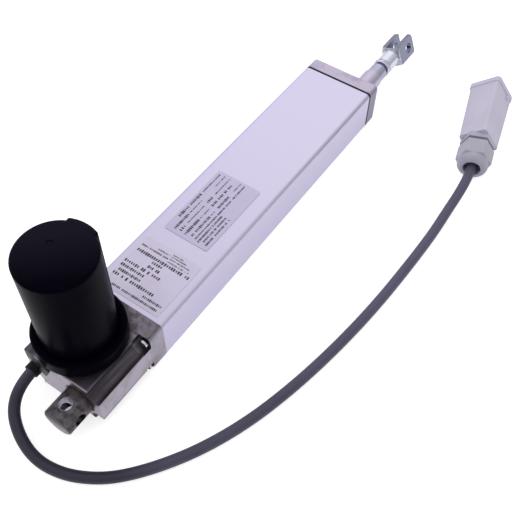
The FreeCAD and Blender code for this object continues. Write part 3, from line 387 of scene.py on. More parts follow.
def worn_and_highlit_edges(tree):
    """Where a piece turns an outer or inner edge: 1 on the edge, and 0 past the width of the painted bright
    edge.
    """
    rounded = add(tree, "ShaderNodeBevel", {"Radius": BRIGHT_EDGE_WIDTH}, samples=4)
    sharp = add(tree, "ShaderNodeNewGeometry").outputs["Normal"]
    agree = add(tree, "ShaderNodeVectorMath", {0: rounded, 1: sharp}, operation="DOT_PRODUCT")
    part = add(tree, "ShaderNodeMapRange", {"Value": agree.outputs["Value"], "From Min": 0.97,
                                            "From Max": 0.8})
    return part


def cast_aluminium(name, colour, stain_and_shade, edge, roughness, side_shade=0.0):
    """Die cast and tumbled: satin grain under a millimetre across, cloudy stains of a few centimetres.

    Sides are painted darker than the top, as painted shade, by the share that the last argument gives.
    """
    material, tree, shader, place = surface(name, colour, metallic=1.0, roughness=roughness)
    grain = add(tree, "ShaderNodeTexNoise", {"Vector": place, "Scale": per(CAST_GRAIN), "Detail": 3.0})
    bump = add(tree, "ShaderNodeBump", {"Height": grain, "Strength": 0.25, "Distance": CAST_GRAIN_DEPTH})
    tree.links.new(bump.outputs[0], shader.inputs["Normal"])
    clouds = add(tree, "ShaderNodeTexNoise", {"Vector": place, "Scale": per(CLOUD_ACROSS), "Detail": 6.0,
                                              "Roughness": 0.62})
    amount = add(tree, "ShaderNodeMapRange", {"Value": clouds, "From Min": 0.48, "From Max": 0.70,
                                              "To Max": CLOUD_SHARE})
    # Painted shade: faces that turn away from up are darkened towards the stain colour.
    facing = add(tree, "ShaderNodeTexCoord").outputs["Normal"]
    upward = add(tree, "ShaderNodeSeparateXYZ", {0: facing}).outputs["Z"]
    painted_side_shade = add(tree, "ShaderNodeMapRange", {"Value": upward, "From Min": 0.9, "From Max": 0.3,
                                               "To Max": side_shade})
    grime_and_side_shade = add(tree, "ShaderNodeMath", {0: amount, 1: painted_side_shade}, operation="MAXIMUM")
    stained_and_shaded = add(tree, "ShaderNodeMix", {0: grime_and_side_shade, MIX_A: linear(colour), MIX_B: linear(stain_and_shade)},
                  data_type="RGBA")
    # Edges take the lighter edge colour, as wear and as a painted highlight.
    worn_and_highlit = add(tree, "ShaderNodeMix", {0: worn_and_highlit_edges(tree), MIX_A: stained_and_shaded.outputs[MIX_OUT],
                                         MIX_B: linear(edge)}, data_type="RGBA")
    tree.links.new(worn_and_highlit.outputs[MIX_OUT], shader.inputs["Base Color"])
    return material


cap_finish = cast_aluminium("cap_casting", "#BBB1C6", "#88819A", "#D6D0DC", roughness=0.42, side_shade=0.9)
print("made", cap_finish.name)

# %% [markdown]
# Between the tube and the cap, the finish on both is darkened next to the gasket, as painted shade in the
# joint. The line is found by the distance along X, so one function serves both finishes.

# %% Gasket line
GASKET_MIDDLE = 399.2 * MM
GASKET_HALF = 0.9 * MM
SHADE_REACH = 0.6 * MM
SHADE_FULL = 0.1 * MM
GASKET_SHADE_SHARE = 0.95


def gasket_shade_line(material):
    """Darken a finish where it meets the gasket, as painted shade, fading out over half a millimetre."""
    tree, shader, piece = reopened(material)
    clean = shader.inputs["Base Color"].links[0].from_socket
    x = add(tree, "ShaderNodeSeparateXYZ", {0: piece["Object"]}).outputs["X"]
    off = add(tree, "ShaderNodeMath", {0: x, 1: GASKET_MIDDLE}, operation="SUBTRACT")
    away = add(tree, "ShaderNodeMath", {0: off}, operation="ABSOLUTE")
    painted_shade = add(tree, "ShaderNodeMapRange", {"Value": away, "From Min": GASKET_HALF + SHADE_REACH,
                                           "From Max": GASKET_HALF + SHADE_FULL, "To Max": GASKET_SHADE_SHARE})
    colour = add(tree, "ShaderNodeMix", {0: painted_shade, MIX_A: clean, MIX_B: linear("#17161A")}, data_type="RGBA")
    tree.links.new(colour.outputs[MIX_OUT], shader.inputs["Base Color"])
    return material


dress(gasket_shade_line(tube_finish), "outer_tube", "switch_rail")
dress(gasket_shade_line(cap_finish), "front_cap")

# %% [markdown]
# Oil mist and dust settled on the gearbox, and painted shade is laid with them: soot and painted shade in the
# four screw channels and in a ring about the motor, near black painted shade in the channels' pockets, and
# soot in smears on the flange. The darkening follows the shape, so it is found from places: all four corners
# fold onto one by taking the size of y and z, and one distance then finds all four channels.

# %% Soot and painted shade on the gearbox
TUBE_MIDDLE_Y = 15.4 * MM
SCREW_PLACE = (31.5 * MM, 16.75 * MM, 0)
CHANNEL_RADIUS = 6.6 * MM
CHANNEL_FADES_AT = 8.2 * MM
FLANGE_REAR = 68.8 * MM
CHANNEL_END = 70.8 * MM
STREAKS = (per(40), per(4), per(4))
POCKET_REAR = 62.3 * MM
POCKET_FADE = 0.3 * MM
POCKET_SHADE_SHARE = 0.95
MOTOR_AXIS = (46.3 * MM, 24.5 * MM, 0)
RING_RADIUS = 28.5 * MM
RING_DRIFT = 14.0 * MM
RING_FADE = (-7.0 * MM, 1.0 * MM)
TOP_FROM = 20.5 * MM


def channel_soot_and_shade(tree, place, at):
    """The share of a place that lies in one of the four channels, and the streaks of soot and painted shade
    in them.
    """
    off_middle = add(tree, "ShaderNodeMath", {0: at["Y"], 1: TUBE_MIDDLE_Y}, operation="SUBTRACT")
    folded_y = add(tree, "ShaderNodeMath", {0: off_middle}, operation="ABSOLUTE")
    folded_z = add(tree, "ShaderNodeMath", {0: at["Z"]}, operation="ABSOLUTE")
    corner = add(tree, "ShaderNodeCombineXYZ", {"X": folded_y, "Y": folded_z})
    off_screw = add(tree, "ShaderNodeVectorMath", {0: corner, 1: SCREW_PLACE}, operation="DISTANCE")
    channel = add(tree, "ShaderNodeMapRange", {
        "Value": off_screw.outputs["Value"], "From Min": CHANNEL_RADIUS, "From Max": CHANNEL_FADES_AT,
        "To Min": 1.0, "To Max": 0.0})
    behind = add(tree, "ShaderNodeMath", {0: at["X"], 1: CHANNEL_END}, operation="LESS_THAN")
    inside = add(tree, "ShaderNodeMath", {0: channel, 1: behind}, operation="MULTIPLY")
    along = add(tree, "ShaderNodeMapping", {"Vector": place, "Scale": STREAKS})
    streaks = add(tree, "ShaderNodeTexNoise", {"Vector": along, "Scale": 1.0, "Detail": 3.0})
    wiped = add(tree, "ShaderNodeMapRange", {"Value": streaks, "From Min": 0.35, "From Max": 0.6,
                                             "To Min": 0.75})
    streaked = add(tree, "ShaderNodeMath", {0: inside, 1: wiped}, operation="MULTIPLY")
    return inside, streaked


def top_soot_and_shade(tree, place, at):
    """Soot and painted shade on the casting's top: a ring about the motor with a ragged edge, and soot in
    smears on the flange.
    """
    on_top = add(tree, "ShaderNodeMath", {0: at["Z"], 1: TOP_FROM}, operation="GREATER_THAN")
    # The ring about the motor is soot and painted shade.
    flat = add(tree, "ShaderNodeCombineXYZ", {"X": at["X"], "Y": at["Y"]})
    off_motor = add(tree, "ShaderNodeVectorMath", {0: flat, 1: MOTOR_AXIS}, operation="DISTANCE")
    drift = add(tree, "ShaderNodeTexNoise", {"Vector": place, "Scale": per(7), "Detail": 5.0})
    spread = add(tree, "ShaderNodeMath", {0: drift, 1: RING_DRIFT, 2: RING_RADIUS},
                 operation="MULTIPLY_ADD")
    ring = add(tree, "ShaderNodeMath", {0: spread, 1: off_motor.outputs["Value"]}, operation="SUBTRACT")
    near_ring = add(tree, "ShaderNodeMapRange", {"Value": ring, "From Min": RING_FADE[0],
                                                 "From Max": RING_FADE[1], "To Min": 0.45, "To Max": 0.85})
    about_motor = add(tree, "ShaderNodeMath", {0: near_ring, 1: on_top}, operation="MULTIPLY")
    smears = add(tree, "ShaderNodeTexNoise", {"Vector": place, "Scale": per(5), "Detail": 5.0})
    on_flange = add(tree, "ShaderNodeMath", {0: at["X"], 1: FLANGE_REAR}, operation="GREATER_THAN")
    smudge = add(tree, "ShaderNodeMapRange", {"Value": smears, "From Min": 0.42, "From Max": 0.62})
    upper = add(tree, "ShaderNodeMath", {0: on_top, 1: smudge}, operation="MULTIPLY")
    share = add(tree, "ShaderNodeMapRange", {"Value": upper, "To Min": 0.2, "To Max": 0.5})
    smeared = add(tree, "ShaderNodeMath", {0: on_flange, 1: share}, operation="MULTIPLY")
    both = add(tree, "ShaderNodeMath", {0: smeared, 1: about_motor}, operation="ADD", use_clamp=True)
    return both


def soiled_and_shaded_casting():
    """The gearbox's casting: satin on open faces, soot and painted shade in its channels and about the motor,
    near black painted shade in the pockets.
    """
    material = cast_aluminium("gearbox_casting", "#AEA6B6", "#857D82", "#CFC9D7", roughness=0.3)
    tree, shader, piece = reopened(material)
    clean = shader.inputs["Base Color"].links[0].from_socket
    place = piece["Object"]
    at = add(tree, "ShaderNodeSeparateXYZ", {0: place}).outputs
    in_channel, streaked = channel_soot_and_shade(tree, place, at)
    darkened_share = add(tree, "ShaderNodeMath", {0: streaked, 1: top_soot_and_shade(tree, place, at)}, operation="MAXIMUM")
    specks = add(tree, "ShaderNodeTexNoise", {"Vector": place, "Scale": per(2.2), "Detail": 3.0})
    speck = add(tree, "ShaderNodeMapRange", {"Value": specks, "From Min": 0.68, "From Max": 0.74,
                                             "To Max": 0.7})
    dark = add(tree, "ShaderNodeMath", {0: darkened_share, 1: speck}, operation="MAXIMUM")
    sooty_and_shaded = add(tree, "ShaderNodeMix", {0: dark, MIX_A: clean, MIX_B: linear("#504A50")}, data_type="RGBA")
    # Painted shade: the pockets at the channels' ends are nearly black.
    deep = add(tree, "ShaderNodeMapRange", {"Value": at["X"], "From Min": POCKET_REAR - POCKET_FADE,
                                            "From Max": POCKET_REAR + POCKET_FADE, "To Max": POCKET_SHADE_SHARE})
    painted_pocket_shade = add(tree, "ShaderNodeMath", {0: deep, 1: in_channel}, operation="MULTIPLY")
    colour = add(tree, "ShaderNodeMix", {0: painted_pocket_shade, MIX_A: sooty_and_shaded.outputs[MIX_OUT],
                                         MIX_B: linear("#0D0D0F")}, data_type="RGBA")
    tree.links.new(colour.outputs[MIX_OUT], shader.inputs["Base Color"])
    dull = add(tree, "ShaderNodeMapRange", {"Value": in_channel, "To Min": 0.3, "To Max": 0.6})
    tree.links.new(dull.outputs[0], shader.inputs["Roughness"])
    return material


dress(soiled_and_shaded_casting(), "gearbox_housing", "bearing_plate")

# %% [markdown]
# Turned and ground metal carries rings from the lathe around its axis. A wave texture would draw them too
# evenly, so the rings are noise squeezed along the piece's axis: fine along it, smooth around it. Shafts in
# the motor stand upright, so their axis is Z. Bronze, brass and copper differ from steel in colour alone.

# %% Turned metal
ALONG_X, ALONG_Z = 0, 2
RING_LENGTH = 30
RING_DEPTH = 0.04 * MM
UNEVEN_ACROSS = 6


def turned_steel(name, colour, roughness, axis=ALONG_X, ring=0.35):
    """Lathe-turned metal: rings about the axis, as fine as ring in millimetres, that break up highlights."""
    material, tree, shader, place = surface(name, colour, metallic=1.0, roughness=roughness)
    squeeze = [per(RING_LENGTH)] * 3
    squeeze[axis] = per(ring)
    rings = add(tree, "ShaderNodeMapping", {"Vector": place, "Scale": squeeze})
    noise = add(tree, "ShaderNodeTexNoise", {"Vector": rings, "Scale": 1.0, "Detail": 2.0})
    bump = add(tree, "ShaderNodeBump", {"Height": noise, "Strength": 0.15, "Distance": RING_DEPTH})
    tree.links.new(bump.outputs[0], shader.inputs["Normal"])
    uneven = add(tree, "ShaderNodeTexNoise", {"Vector": place, "Scale": per(UNEVEN_ACROSS), "Detail": 4.0})
    rough = add(tree, "ShaderNodeMapRange", {"Value": uneven, "To Min": roughness - 0.08,
                                             "To Max": roughness + 0.12})
    tree.links.new(rough.outputs[0], shader.inputs["Roughness"])
    return material


# Ground and hard chromed, the rod is a little duller than the nose, which is bare and bright
dress(turned_steel("ground_rod", "#BBB5C9", roughness=0.3), "push_rod")
dress(turned_steel("bright_steel", "#ACACC0", roughness=0.28), "rod_nose", "lead_screw", "wheel_spacer",
      "wheel_key", "rear_bearing", "front_bearing")
# Oil-black screws in the cap
dress(turned_steel("black_oxide", "#4B4950", roughness=0.34), "cap_screws")
# The drive inside: clean steel, golden bronze, red copper, brown varnished sheets and yellow brass
dress(turned_steel("shaft_steel", "#C4C2C8", roughness=0.3, axis=ALONG_Z), "motor_shaft", "worm",
      "lower_motor_bearing", "upper_motor_bearing", "motor_can")
dress(turned_steel("bronze", "#B08A4E", roughness=0.34), "rod_bush", "worm_wheel", "shaft_foot")
dress(turned_steel("copper", "#B87850", roughness=0.32, axis=ALONG_Z), "commutator")
dress(turned_steel("laminations", "#8A7C72", roughness=0.5, axis=ALONG_Z, ring=0.5), "armature")
dress(turned_steel("contact_brass", "#C9B26A", roughness=0.28), "plug_contacts")

# %% [markdown]
# The lug is the one piece of bare steel that a mechanic handles. It is dark and mottled with old oil, and
# rust sits where it meets the gearbox. Its upright hole is painted near white, as a painted reflection, and
# its end face is dark, and pale towards the bottom. Rust goes by the distance along the lug, the bright metal
# by the distance from the hole's axis.
# Rust goes by the distance along the lug, the bright metal by the distance from the hole's axis.

# %% Oiled lug
LUG_HOLE_RADIUS = 5.0 * MM
BORE_FADE = (0.2 * MM, 0.05 * MM)
RUST_FROM = 6.0 * MM
LUG_REACH = 12.6 * MM
LUG_END = -12.0 * MM
LUG_RADIUS = 12.5 * MM
LUG_CHAMFER = 1.0 * MM
PALE_END_FADE = (5.0 * MM, -6.0 * MM)
LUG_COLOUR = "#474349"


def lug_end(tree, place, at):
    """The flat of the lug's end inside its chamfer."""
    end = add(tree, "ShaderNodeMath", {0: at["X"], 1: LUG_END + LUG_CHAMFER}, operation="LESS_THAN")
    off_axis = add(tree, "ShaderNodeVectorMath", {0: place, 1: (0, 1, 1)}, operation="MULTIPLY")
    outwards = add(tree, "ShaderNodeVectorMath", {0: off_axis}, operation="LENGTH")
    inner = add(tree, "ShaderNodeMath", {0: outwards.outputs["Value"], 1: LUG_RADIUS - LUG_CHAMFER},
                operation="LESS_THAN")
    face = add(tree, "ShaderNodeMath", {0: end, 1: inner}, operation="MULTIPLY")
    return face


def oiled_steel():
    """The lug's dark steel: mottled with oil, brown at its root, dark on its end and pale low on it, one hole
    painted bright as a reflection.
    """
    material = turned_steel("oiled_steel", LUG_COLOUR, roughness=0.42, ring=0.5)
    tree, shader, piece = reopened(material)
    place = piece["Object"]
    at = add(tree, "ShaderNodeSeparateXYZ", {0: place}).outputs
    patches = add(tree, "ShaderNodeTexNoise", {"Vector": place, "Scale": per(5), "Detail": 5.0})
    mottle = add(tree, "ShaderNodeMapRange", {"Value": patches, "From Min": 0.4, "From Max": 0.62})
    skin = add(tree, "ShaderNodeMix", {0: mottle, MIX_A: linear(LUG_COLOUR),
                                       MIX_B: linear("#6E686C")}, data_type="RGBA")
    root = add(tree, "ShaderNodeMapRange", {"Value": at["X"], "From Min": RUST_FROM, "From Max": LUG_REACH})
    rust = add(tree, "ShaderNodeMath", {0: root, 1: patches}, operation="MULTIPLY")
    rusty = add(tree, "ShaderNodeMix", {0: rust, MIX_A: skin.outputs[MIX_OUT],
                                        MIX_B: linear("#40301F")}, data_type="RGBA")
    face = lug_end(tree, place, at)
    ended = add(tree, "ShaderNodeMix", {0: face, MIX_A: rusty.outputs[MIX_OUT], MIX_B: linear("#1B191C")},
                data_type="RGBA")
    # The end face is dark, and paler towards the bottom.
    low = add(tree, "ShaderNodeMapRange", {"Value": at["Z"], "From Min": PALE_END_FADE[0],
                                           "From Max": PALE_END_FADE[1]})
    pale_low_end = add(tree, "ShaderNodeMath", {0: face, 1: low}, operation="MULTIPLY")
    toned = add(tree, "ShaderNodeMix", {0: pale_low_end, MIX_A: ended.outputs[MIX_OUT],
                                        MIX_B: linear("#A6A0A9")}, data_type="RGBA")
    # Painted reflection: the upright hole is near white, so that the bore shows bright.
    off_upright = add(tree, "ShaderNodeVectorMath", {0: place, 1: (1, 1, 0)}, operation="MULTIPLY")
    upright = add(tree, "ShaderNodeVectorMath", {0: off_upright}, operation="LENGTH")
    hole = add(tree, "ShaderNodeMapRange", {"Value": upright.outputs["Value"],
                                            "From Min": LUG_HOLE_RADIUS + BORE_FADE[0],
                                            "From Max": LUG_HOLE_RADIUS + BORE_FADE[1]})
    colour = add(tree, "ShaderNodeMix", {0: hole, MIX_A: toned.outputs[MIX_OUT],
                                         MIX_B: linear("#E6E3EE")}, data_type="RGBA")
    tree.links.new(colour.outputs[MIX_OUT], shader.inputs["Base Color"])
    return material


dress(oiled_steel(), "rear_lug")

# %% [markdown]
# The fork and its nut are zinc plated and white on the turned neck. The square body is painted slate grey and
# the cone between the round neck and the square body dark in patches, both as painted dark reflections. All
# three go by the distance along X.

# %% Plated fork
NECK_END = 482.5 * MM
SQUARE_FROM = 487.6 * MM
PLATE_FADE = 1.0 * MM
DARK_PAST = 0.5 * MM
ZINC = "#D3D4E6"


def zinc_plate():
    """Zinc on the fork and its nut: white on turned faces, with painted dark reflections: slate on the square
    body, dark on the cone.
    """
    material = turned_steel("zinc_plate", ZINC, roughness=0.24, ring=0.8)
    tree, shader, piece = reopened(material)
    x = add(tree, "ShaderNodeSeparateXYZ", {0: piece["Object"]}).outputs["X"]
    # Painted reflection: the square body is slate grey.
    square_body = add(tree, "ShaderNodeMapRange", {"Value": x, "From Min": SQUARE_FROM - DARK_PAST - PLATE_FADE,
                                              "From Max": SQUARE_FROM - DARK_PAST + PLATE_FADE})
    zinc_and_dark_reflection = add(tree, "ShaderNodeMix", {0: square_body, MIX_A: linear(ZINC), MIX_B: linear("#83859A")},
                 data_type="RGBA")
    start = add(tree, "ShaderNodeMapRange", {"Value": x, "From Min": NECK_END - PLATE_FADE,
                                             "From Max": NECK_END + PLATE_FADE})
    stop = add(tree, "ShaderNodeMapRange", {"Value": x, "From Min": SQUARE_FROM + DARK_PAST + PLATE_FADE,
                                            "From Max": SQUARE_FROM + DARK_PAST - PLATE_FADE})
    cone = add(tree, "ShaderNodeMath", {0: start, 1: stop}, operation="MULTIPLY")
    # Painted reflection: the cone is dark in patches.
    patches = add(tree, "ShaderNodeTexNoise", {"Vector": piece["Object"], "Scale": per(3), "Detail": 5.0})
    painted_cone_reflection = add(tree, "ShaderNodeMath", {0: cone, 1: patches}, operation="MULTIPLY")
    colour = add(tree, "ShaderNodeMix", {0: painted_cone_reflection, MIX_A: zinc_and_dark_reflection.outputs[MIX_OUT],
                                         MIX_B: linear("#3B3B44")}, data_type="RGBA")
    tree.links.new(colour.outputs[MIX_OUT], shader.inputs["Base Color"])
    return material


dress(zinc_plate(), "fork_head", "lock_nut")

# %% [markdown]
# The screws in the gearbox's pockets are painted near black like the pockets, as painted shade, except for
# the rim of each head. The face that looks out of the pocket is found by its normal, and the rim by its
# depth.

# %% Pocket screws
HEAD_FACE = 66.8 * MM
HEAD_RIM = 1.5 * MM
RIM_FADE = 1.3
FACES_OUT = -0.7
SCREW_ZINC = "#D2CFDA"


def pocket_screws():
    """Zinc screws deep in the pockets: near black as painted shade, but for the rim of the head."""
    material = turned_steel("zinc_screws", SCREW_ZINC, roughness=0.3, ring=0.6)
    tree, shader, piece = reopened(material)
    x = add(tree, "ShaderNodeSeparateXYZ", {0: piece["Object"]}).outputs["X"]
    backward = add(tree, "ShaderNodeSeparateXYZ", {0: piece["Normal"]}).outputs["X"]
    past_rim = add(tree, "ShaderNodeMapRange", {"Value": x, "From Min": HEAD_FACE + HEAD_RIM,
                                                "From Max": HEAD_FACE + RIM_FADE * HEAD_RIM})
    face = add(tree, "ShaderNodeMath", {0: backward, 1: FACES_OUT}, operation="LESS_THAN")
    # Painted shade: all of the screw but the rim of its head is near black.
    darkened_share = add(tree, "ShaderNodeMath", {0: past_rim, 1: face}, operation="MAXIMUM")
    colour = add(tree, "ShaderNodeMix", {0: darkened_share, MIX_A: linear(SCREW_ZINC),
                                         MIX_B: linear("#121214")}, data_type="RGBA")
    tree.links.new(colour.outputs[MIX_OUT], shader.inputs["Base Color"])
    return material


dress(pocket_screws(), "housing_screws")

# %% [markdown]
# The motor's cover is moulded in black polyamide, which drinks nearly all light. It mirrors a little, and a
# little blue, and its flat top is painted lighter towards its far half, as dust and a painted reflection.
# That goes by height, by the normal and by the distance across the top.

# %% Black cover
COVER_TOP_ABOVE = 110 * MM
COVER_TOP_FACING = 0.7
LIGHTER_ACROSS = (0.7071, 0.7071, 0)
LIGHTER_FROM = 28 * MM
LIGHTER_TO = 68 * MM


def dusty_sheened_moulding():
    """Black polyamide: nearly no colour of its own, a soft blue-grey mirror, the top's far half painted
    lighter as dust and a reflection.
    """
    material = moulded("black_moulding", "#04030A", "#070610", roughness=0.3, grain=0.6, depth=0.02,
                       specular=0.015, edge=4.0)
    tree, shader, piece = reopened(material)
    shader.inputs["Specular Tint"].default_value = linear("#C0B4FF")
    clean = shader.inputs["Base Color"].links[0].from_socket
    z = add(tree, "ShaderNodeSeparateXYZ", {0: piece["Object"]}).outputs["Z"]
    upward = add(tree, "ShaderNodeSeparateXYZ", {0: piece["Normal"]}).outputs["Z"]
    # Dust and a painted reflection: the top lightens towards its far half.
    over = add(tree, "ShaderNodeVectorMath", {0: piece["Object"], 1: LIGHTER_ACROSS}, operation="DOT_PRODUCT")
    dust_and_reflection = add(tree, "ShaderNodeMapRange", {"Value": over.outputs["Value"], "From Min": LIGHTER_FROM,
                                            "From Max": LIGHTER_TO})
    high = add(tree, "ShaderNodeMath", {0: z, 1: COVER_TOP_ABOVE}, operation="GREATER_THAN")
    flat = add(tree, "ShaderNodeMath", {0: upward, 1: COVER_TOP_FACING}, operation="GREATER_THAN")
    on_top = add(tree, "ShaderNodeMath", {0: high, 1: flat}, operation="MULTIPLY")
    layer = add(tree, "ShaderNodeMath", {0: dust_and_reflection, 1: on_top}, operation="MULTIPLY")
    colour = add(tree, "ShaderNodeMix", {0: layer, MIX_A: clean, MIX_B: linear("#1C1A25")},
                 data_type="RGBA")
    tree.links.new(colour.outputs[MIX_OUT], shader.inputs["Base Color"])
    return material


dress(dusty_sheened_moulding(), "motor_cover", "motor_ring")

# %% [markdown]
# Two plates are stuck on the tube's top: a white film, and a plate of silver foil. Flat faces on the tube
# would look painted on, so both are thin solids with rounded corners, whose edges catch light.

# %% Label film and rating plate
TUBE_TOP = 21.25 * MM
CORNER_STEPS = 6
FILM_BOX = ((89.5, -12.2), (146.0, 43.5))
FILM_CORNER = 1.5
FILM_THICKNESS = 0.15
PLATE_BOX = ((160.5, -5.3), (237.6, 38.6))
PLATE_CORNER = 2.0
PLATE_THICKNESS = 0.4
BRUSH_STROKES = (per(12), per(0.4), per(12))


def thin_plate(name, low, high, thickness, corner, material, slot):
    """A plate with rounded corners on the tube's top, between two corners in millimetres."""
    shape = bmesh.new()
    rim = []
    for turn, x, y in ((0, high[0] - corner, high[1] - corner), (90, low[0] + corner, high[1] - corner),
                       (180, low[0] + corner, low[1] + corner), (270, high[0] - corner, low[1] + corner)):
        for step in range(CORNER_STEPS + 1):
            angle = math.radians(turn + 90 * step / CORNER_STEPS)
            rim.append(shape.verts.new(((x + corner * math.cos(angle)) * MM,
                                        (y + corner * math.sin(angle)) * MM, TUBE_TOP)))
    raised = bmesh.ops.extrude_face_region(shape, geom=[shape.faces.new(rim)])["geom"]
    top = [part for part in raised if isinstance(part, bmesh.types.BMVert)]
    bmesh.ops.translate(shape, vec=(0, 0, thickness * MM), verts=top)
    bmesh.ops.recalc_face_normals(shape, faces=shape.faces)
    mesh = bpy.data.meshes.new(name)
    shape.to_mesh(mesh)
    shape.free()
    mesh.materials.append(material)
    piece = bpy.data.objects.new(name, mesh)
    bpy.context.scene.collection.objects.link(piece)
    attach(piece, "housing")
    print(name, "faces:", len(mesh.polygons))


def brushed_foil():
    """Rolled aluminium foil on the rating plate: brushed along X, duller and greyer than the tube beneath."""
    material, tree, shader, place = surface("brushed_foil", "#BDB6D2", metallic=0.8, roughness=0.4)
    stretched = add(tree, "ShaderNodeMapping", {"Vector": place, "Scale": BRUSH_STROKES})
    strokes = add(tree, "ShaderNodeTexNoise", {"Vector": stretched, "Scale": 1.0, "Detail": 3.0})
    rough = add(tree, "ShaderNodeMapRange", {"Value": strokes, "To Min": 0.32, "To Max": 0.5})
    tree.links.new(rough.outputs[0], shader.inputs["Roughness"])
    colour = add(tree, "ShaderNodeMix", {0: strokes, MIX_A: linear("#C6BFDB"),
                                         MIX_B: linear("#B9B2CD")}, data_type="RGBA")
    tree.links.new(colour.outputs[MIX_OUT], shader.inputs["Base Color"])
    return material


# Smooth white film with a slight wave, a little lilac in this light
white_film = moulded("white_film", "#DBD3ED", "#D4CBE5", roughness=0.35, grain=3.0, depth=0.02)
thin_plate("label_film", *FILM_BOX, FILM_THICKNESS, FILM_CORNER, white_film, "hood_grey")
thin_plate("rating_plate", *PLATE_BOX, PLATE_THICKNESS, PLATE_CORNER, brushed_foil(), "rail_aluminium")

# %% [markdown]
# Printed rows repeat along lines, which is what Geometry Nodes are for. Each row is one edge of a small
# mesh, with the height of its letters as an attribute. The tree turns edges to curves, sets a point for each
# letter, at a pitch that follows its height, and puts a thin bar there. A fixed seed draws the bars' sizes
# and leaves some out as spaces, so the rows look like print without saying anything.

# %% Rows of word bars
LETTER_SHARE = 0.9
WIDTH_SHARE = (0.5, 0.85)
HEIGHT_SHARE = (0.65, 1.0)


def new_tree(name, inputs):
    """A Geometry Nodes tree with named inputs, given as name and kind of socket."""
    tree = bpy.data.node_groups.new(name, "GeometryNodeTree")
    for label, kind in [("Geometry", "Geometry"), *inputs]:
        tree.interface.new_socket(label, in_out="INPUT", socket_type="NodeSocket" + kind)
    tree.interface.new_socket("Geometry", in_out="OUTPUT", socket_type="NodeSocketGeometry")
    return tree, add(tree, "NodeGroupInput").outputs


def end_tree(tree, geometry, material):
    """Make instances real, give them their material, and hand the result out."""
    real = add(tree, "GeometryNodeRealizeInstances", {"Geometry": geometry})
    dressed = add(tree, "GeometryNodeSetMaterial", {"Geometry": real, "Material": material})
    add(tree, "NodeGroupOutput", {"Geometry": dressed})


words, given = new_tree("printed_words", [("Letter Width", "Float"), ("Ink Thickness", "Float"),
                                          ("Seed", "Int"), ("Ink", "Material")])
lines = add(words, "GeometryNodeMeshToCurve", {"Mesh": given["Geometry"]})
tallest = add(words, "GeometryNodeInputNamedAttribute", {"Name": "letter_height"}, data_type="FLOAT")
pitch = add(words, "ShaderNodeMath", {0: tallest, 1: given["Letter Width"]}, operation="MULTIPLY")
letters = add(words, "GeometryNodeCurveToPoints", {"Curve": lines, "Length": pitch}, mode="LENGTH")
along = add(words, "FunctionNodeAlignRotationToVector", {"Vector": letters.outputs["Tangent"]}, axis="X",
            pivot_axis="Z")
printed = add(words, "FunctionNodeRandomValue", {"Probability": LETTER_SHARE, "Seed": given["Seed"]},
              data_type="BOOLEAN")
share = add(words, "FunctionNodeRandomValue", {2: WIDTH_SHARE[0], 3: WIDTH_SHARE[1], "Seed": given["Seed"]},
            data_type="FLOAT")
width = add(words, "ShaderNodeMath", {0: share.outputs[1], 1: pitch}, operation="MULTIPLY")
part = add(words, "FunctionNodeRandomValue", {2: HEIGHT_SHARE[0], 3: HEIGHT_SHARE[1], "Seed": given["Seed"]},
           data_type="FLOAT")
height = add(words, "ShaderNodeMath", {0: part.outputs[1], 1: tallest}, operation="MULTIPLY")
size = add(words, "ShaderNodeCombineXYZ", {"X": width, "Y": height, "Z": given["Ink Thickness"]})
bar = add(words, "GeometryNodeMeshCube")
bars = add(words, "GeometryNodeInstanceOnPoints", {
    "Points": letters, "Selection": printed.outputs[3], "Instance": bar, "Rotation": along, "Scale": size})
end_tree(words, bars, given["Ink"])
print("tree", words.name, "has", len(words.nodes), "nodes")

# %% [markdown]
# The film's rows run across the tube and the plate's run along it. Each row here is its place across the
# rows, where it starts and stops along them, and the height of its letters, all in millimetres. The letters
# are a little coarser than real print, so that they show. What a tree makes is kept as a plain mesh.

# %% Print the film and the plate
FILM_ROWS = [
    (142.6, 13.7, 4.4, 1.3), (140.4, 13.7, 0.0, 1.3), (140.4, 27.5, 16.0, 1.3), (137.8, 13.7, -5.0, 1.3),
    (137.0, 41.0, 16.0, 1.9), (134.8, 13.7, -7.0, 1.3), (131.2, 41.0, 16.0, 3.2), (131.2, 13.5, -9.0, 3.2),
    (127.2, 25.0, 14.5, 2.9), (122.5, 25.0, 13.5, 2.9), (117.5, 42.5, 9.0, 3.1), (112.7, 42.5, 21.0, 2.8),
    (107.7, 42.5, 20.5, 2.8), (103.1, 42.5, 1.5, 3.2), (98.1, 8.5, -8.5, 2.6), (93.7, 39.0, -7.5, 2.3),
]
PLATE_ROWS = [
    (35.2, 177.5, 206.0, 2.9), (35.2, 210.0, 234.4, 1.4), (30.2, 165.0, 182.5, 2.6),
    (30.2, 185.0, 201.0, 1.2), (30.2, 221.0, 234.0, 1.2), (25.0, 166.0, 171.0, 2.6),
    (25.0, 175.6, 197.5, 1.2), (25.0, 202.5, 210.6, 2.6), (25.0, 213.5, 234.4, 1.2),
    (19.6, 165.0, 182.5, 2.6), (19.6, 185.0, 198.0, 1.2), (19.6, 202.0, 228.7, 2.6),
    (14.1, 165.0, 190.0, 2.6), (14.1, 193.0, 198.0, 1.2), (14.1, 203.0, 222.0, 2.6),
    (14.1, 225.0, 235.0, 1.2), (9.8, 165.6, 234.4, 1.7), (6.2, 164.5, 197.0, 1.9),
    (2.5, 166.0, 197.0, 1.9), (-1.2, 165.0, 197.0, 1.9),
]
FILM_SEED = 4
PLATE_SEED = 9
INK_THICKNESS = 0.05
LETTER_WIDTH = 0.65


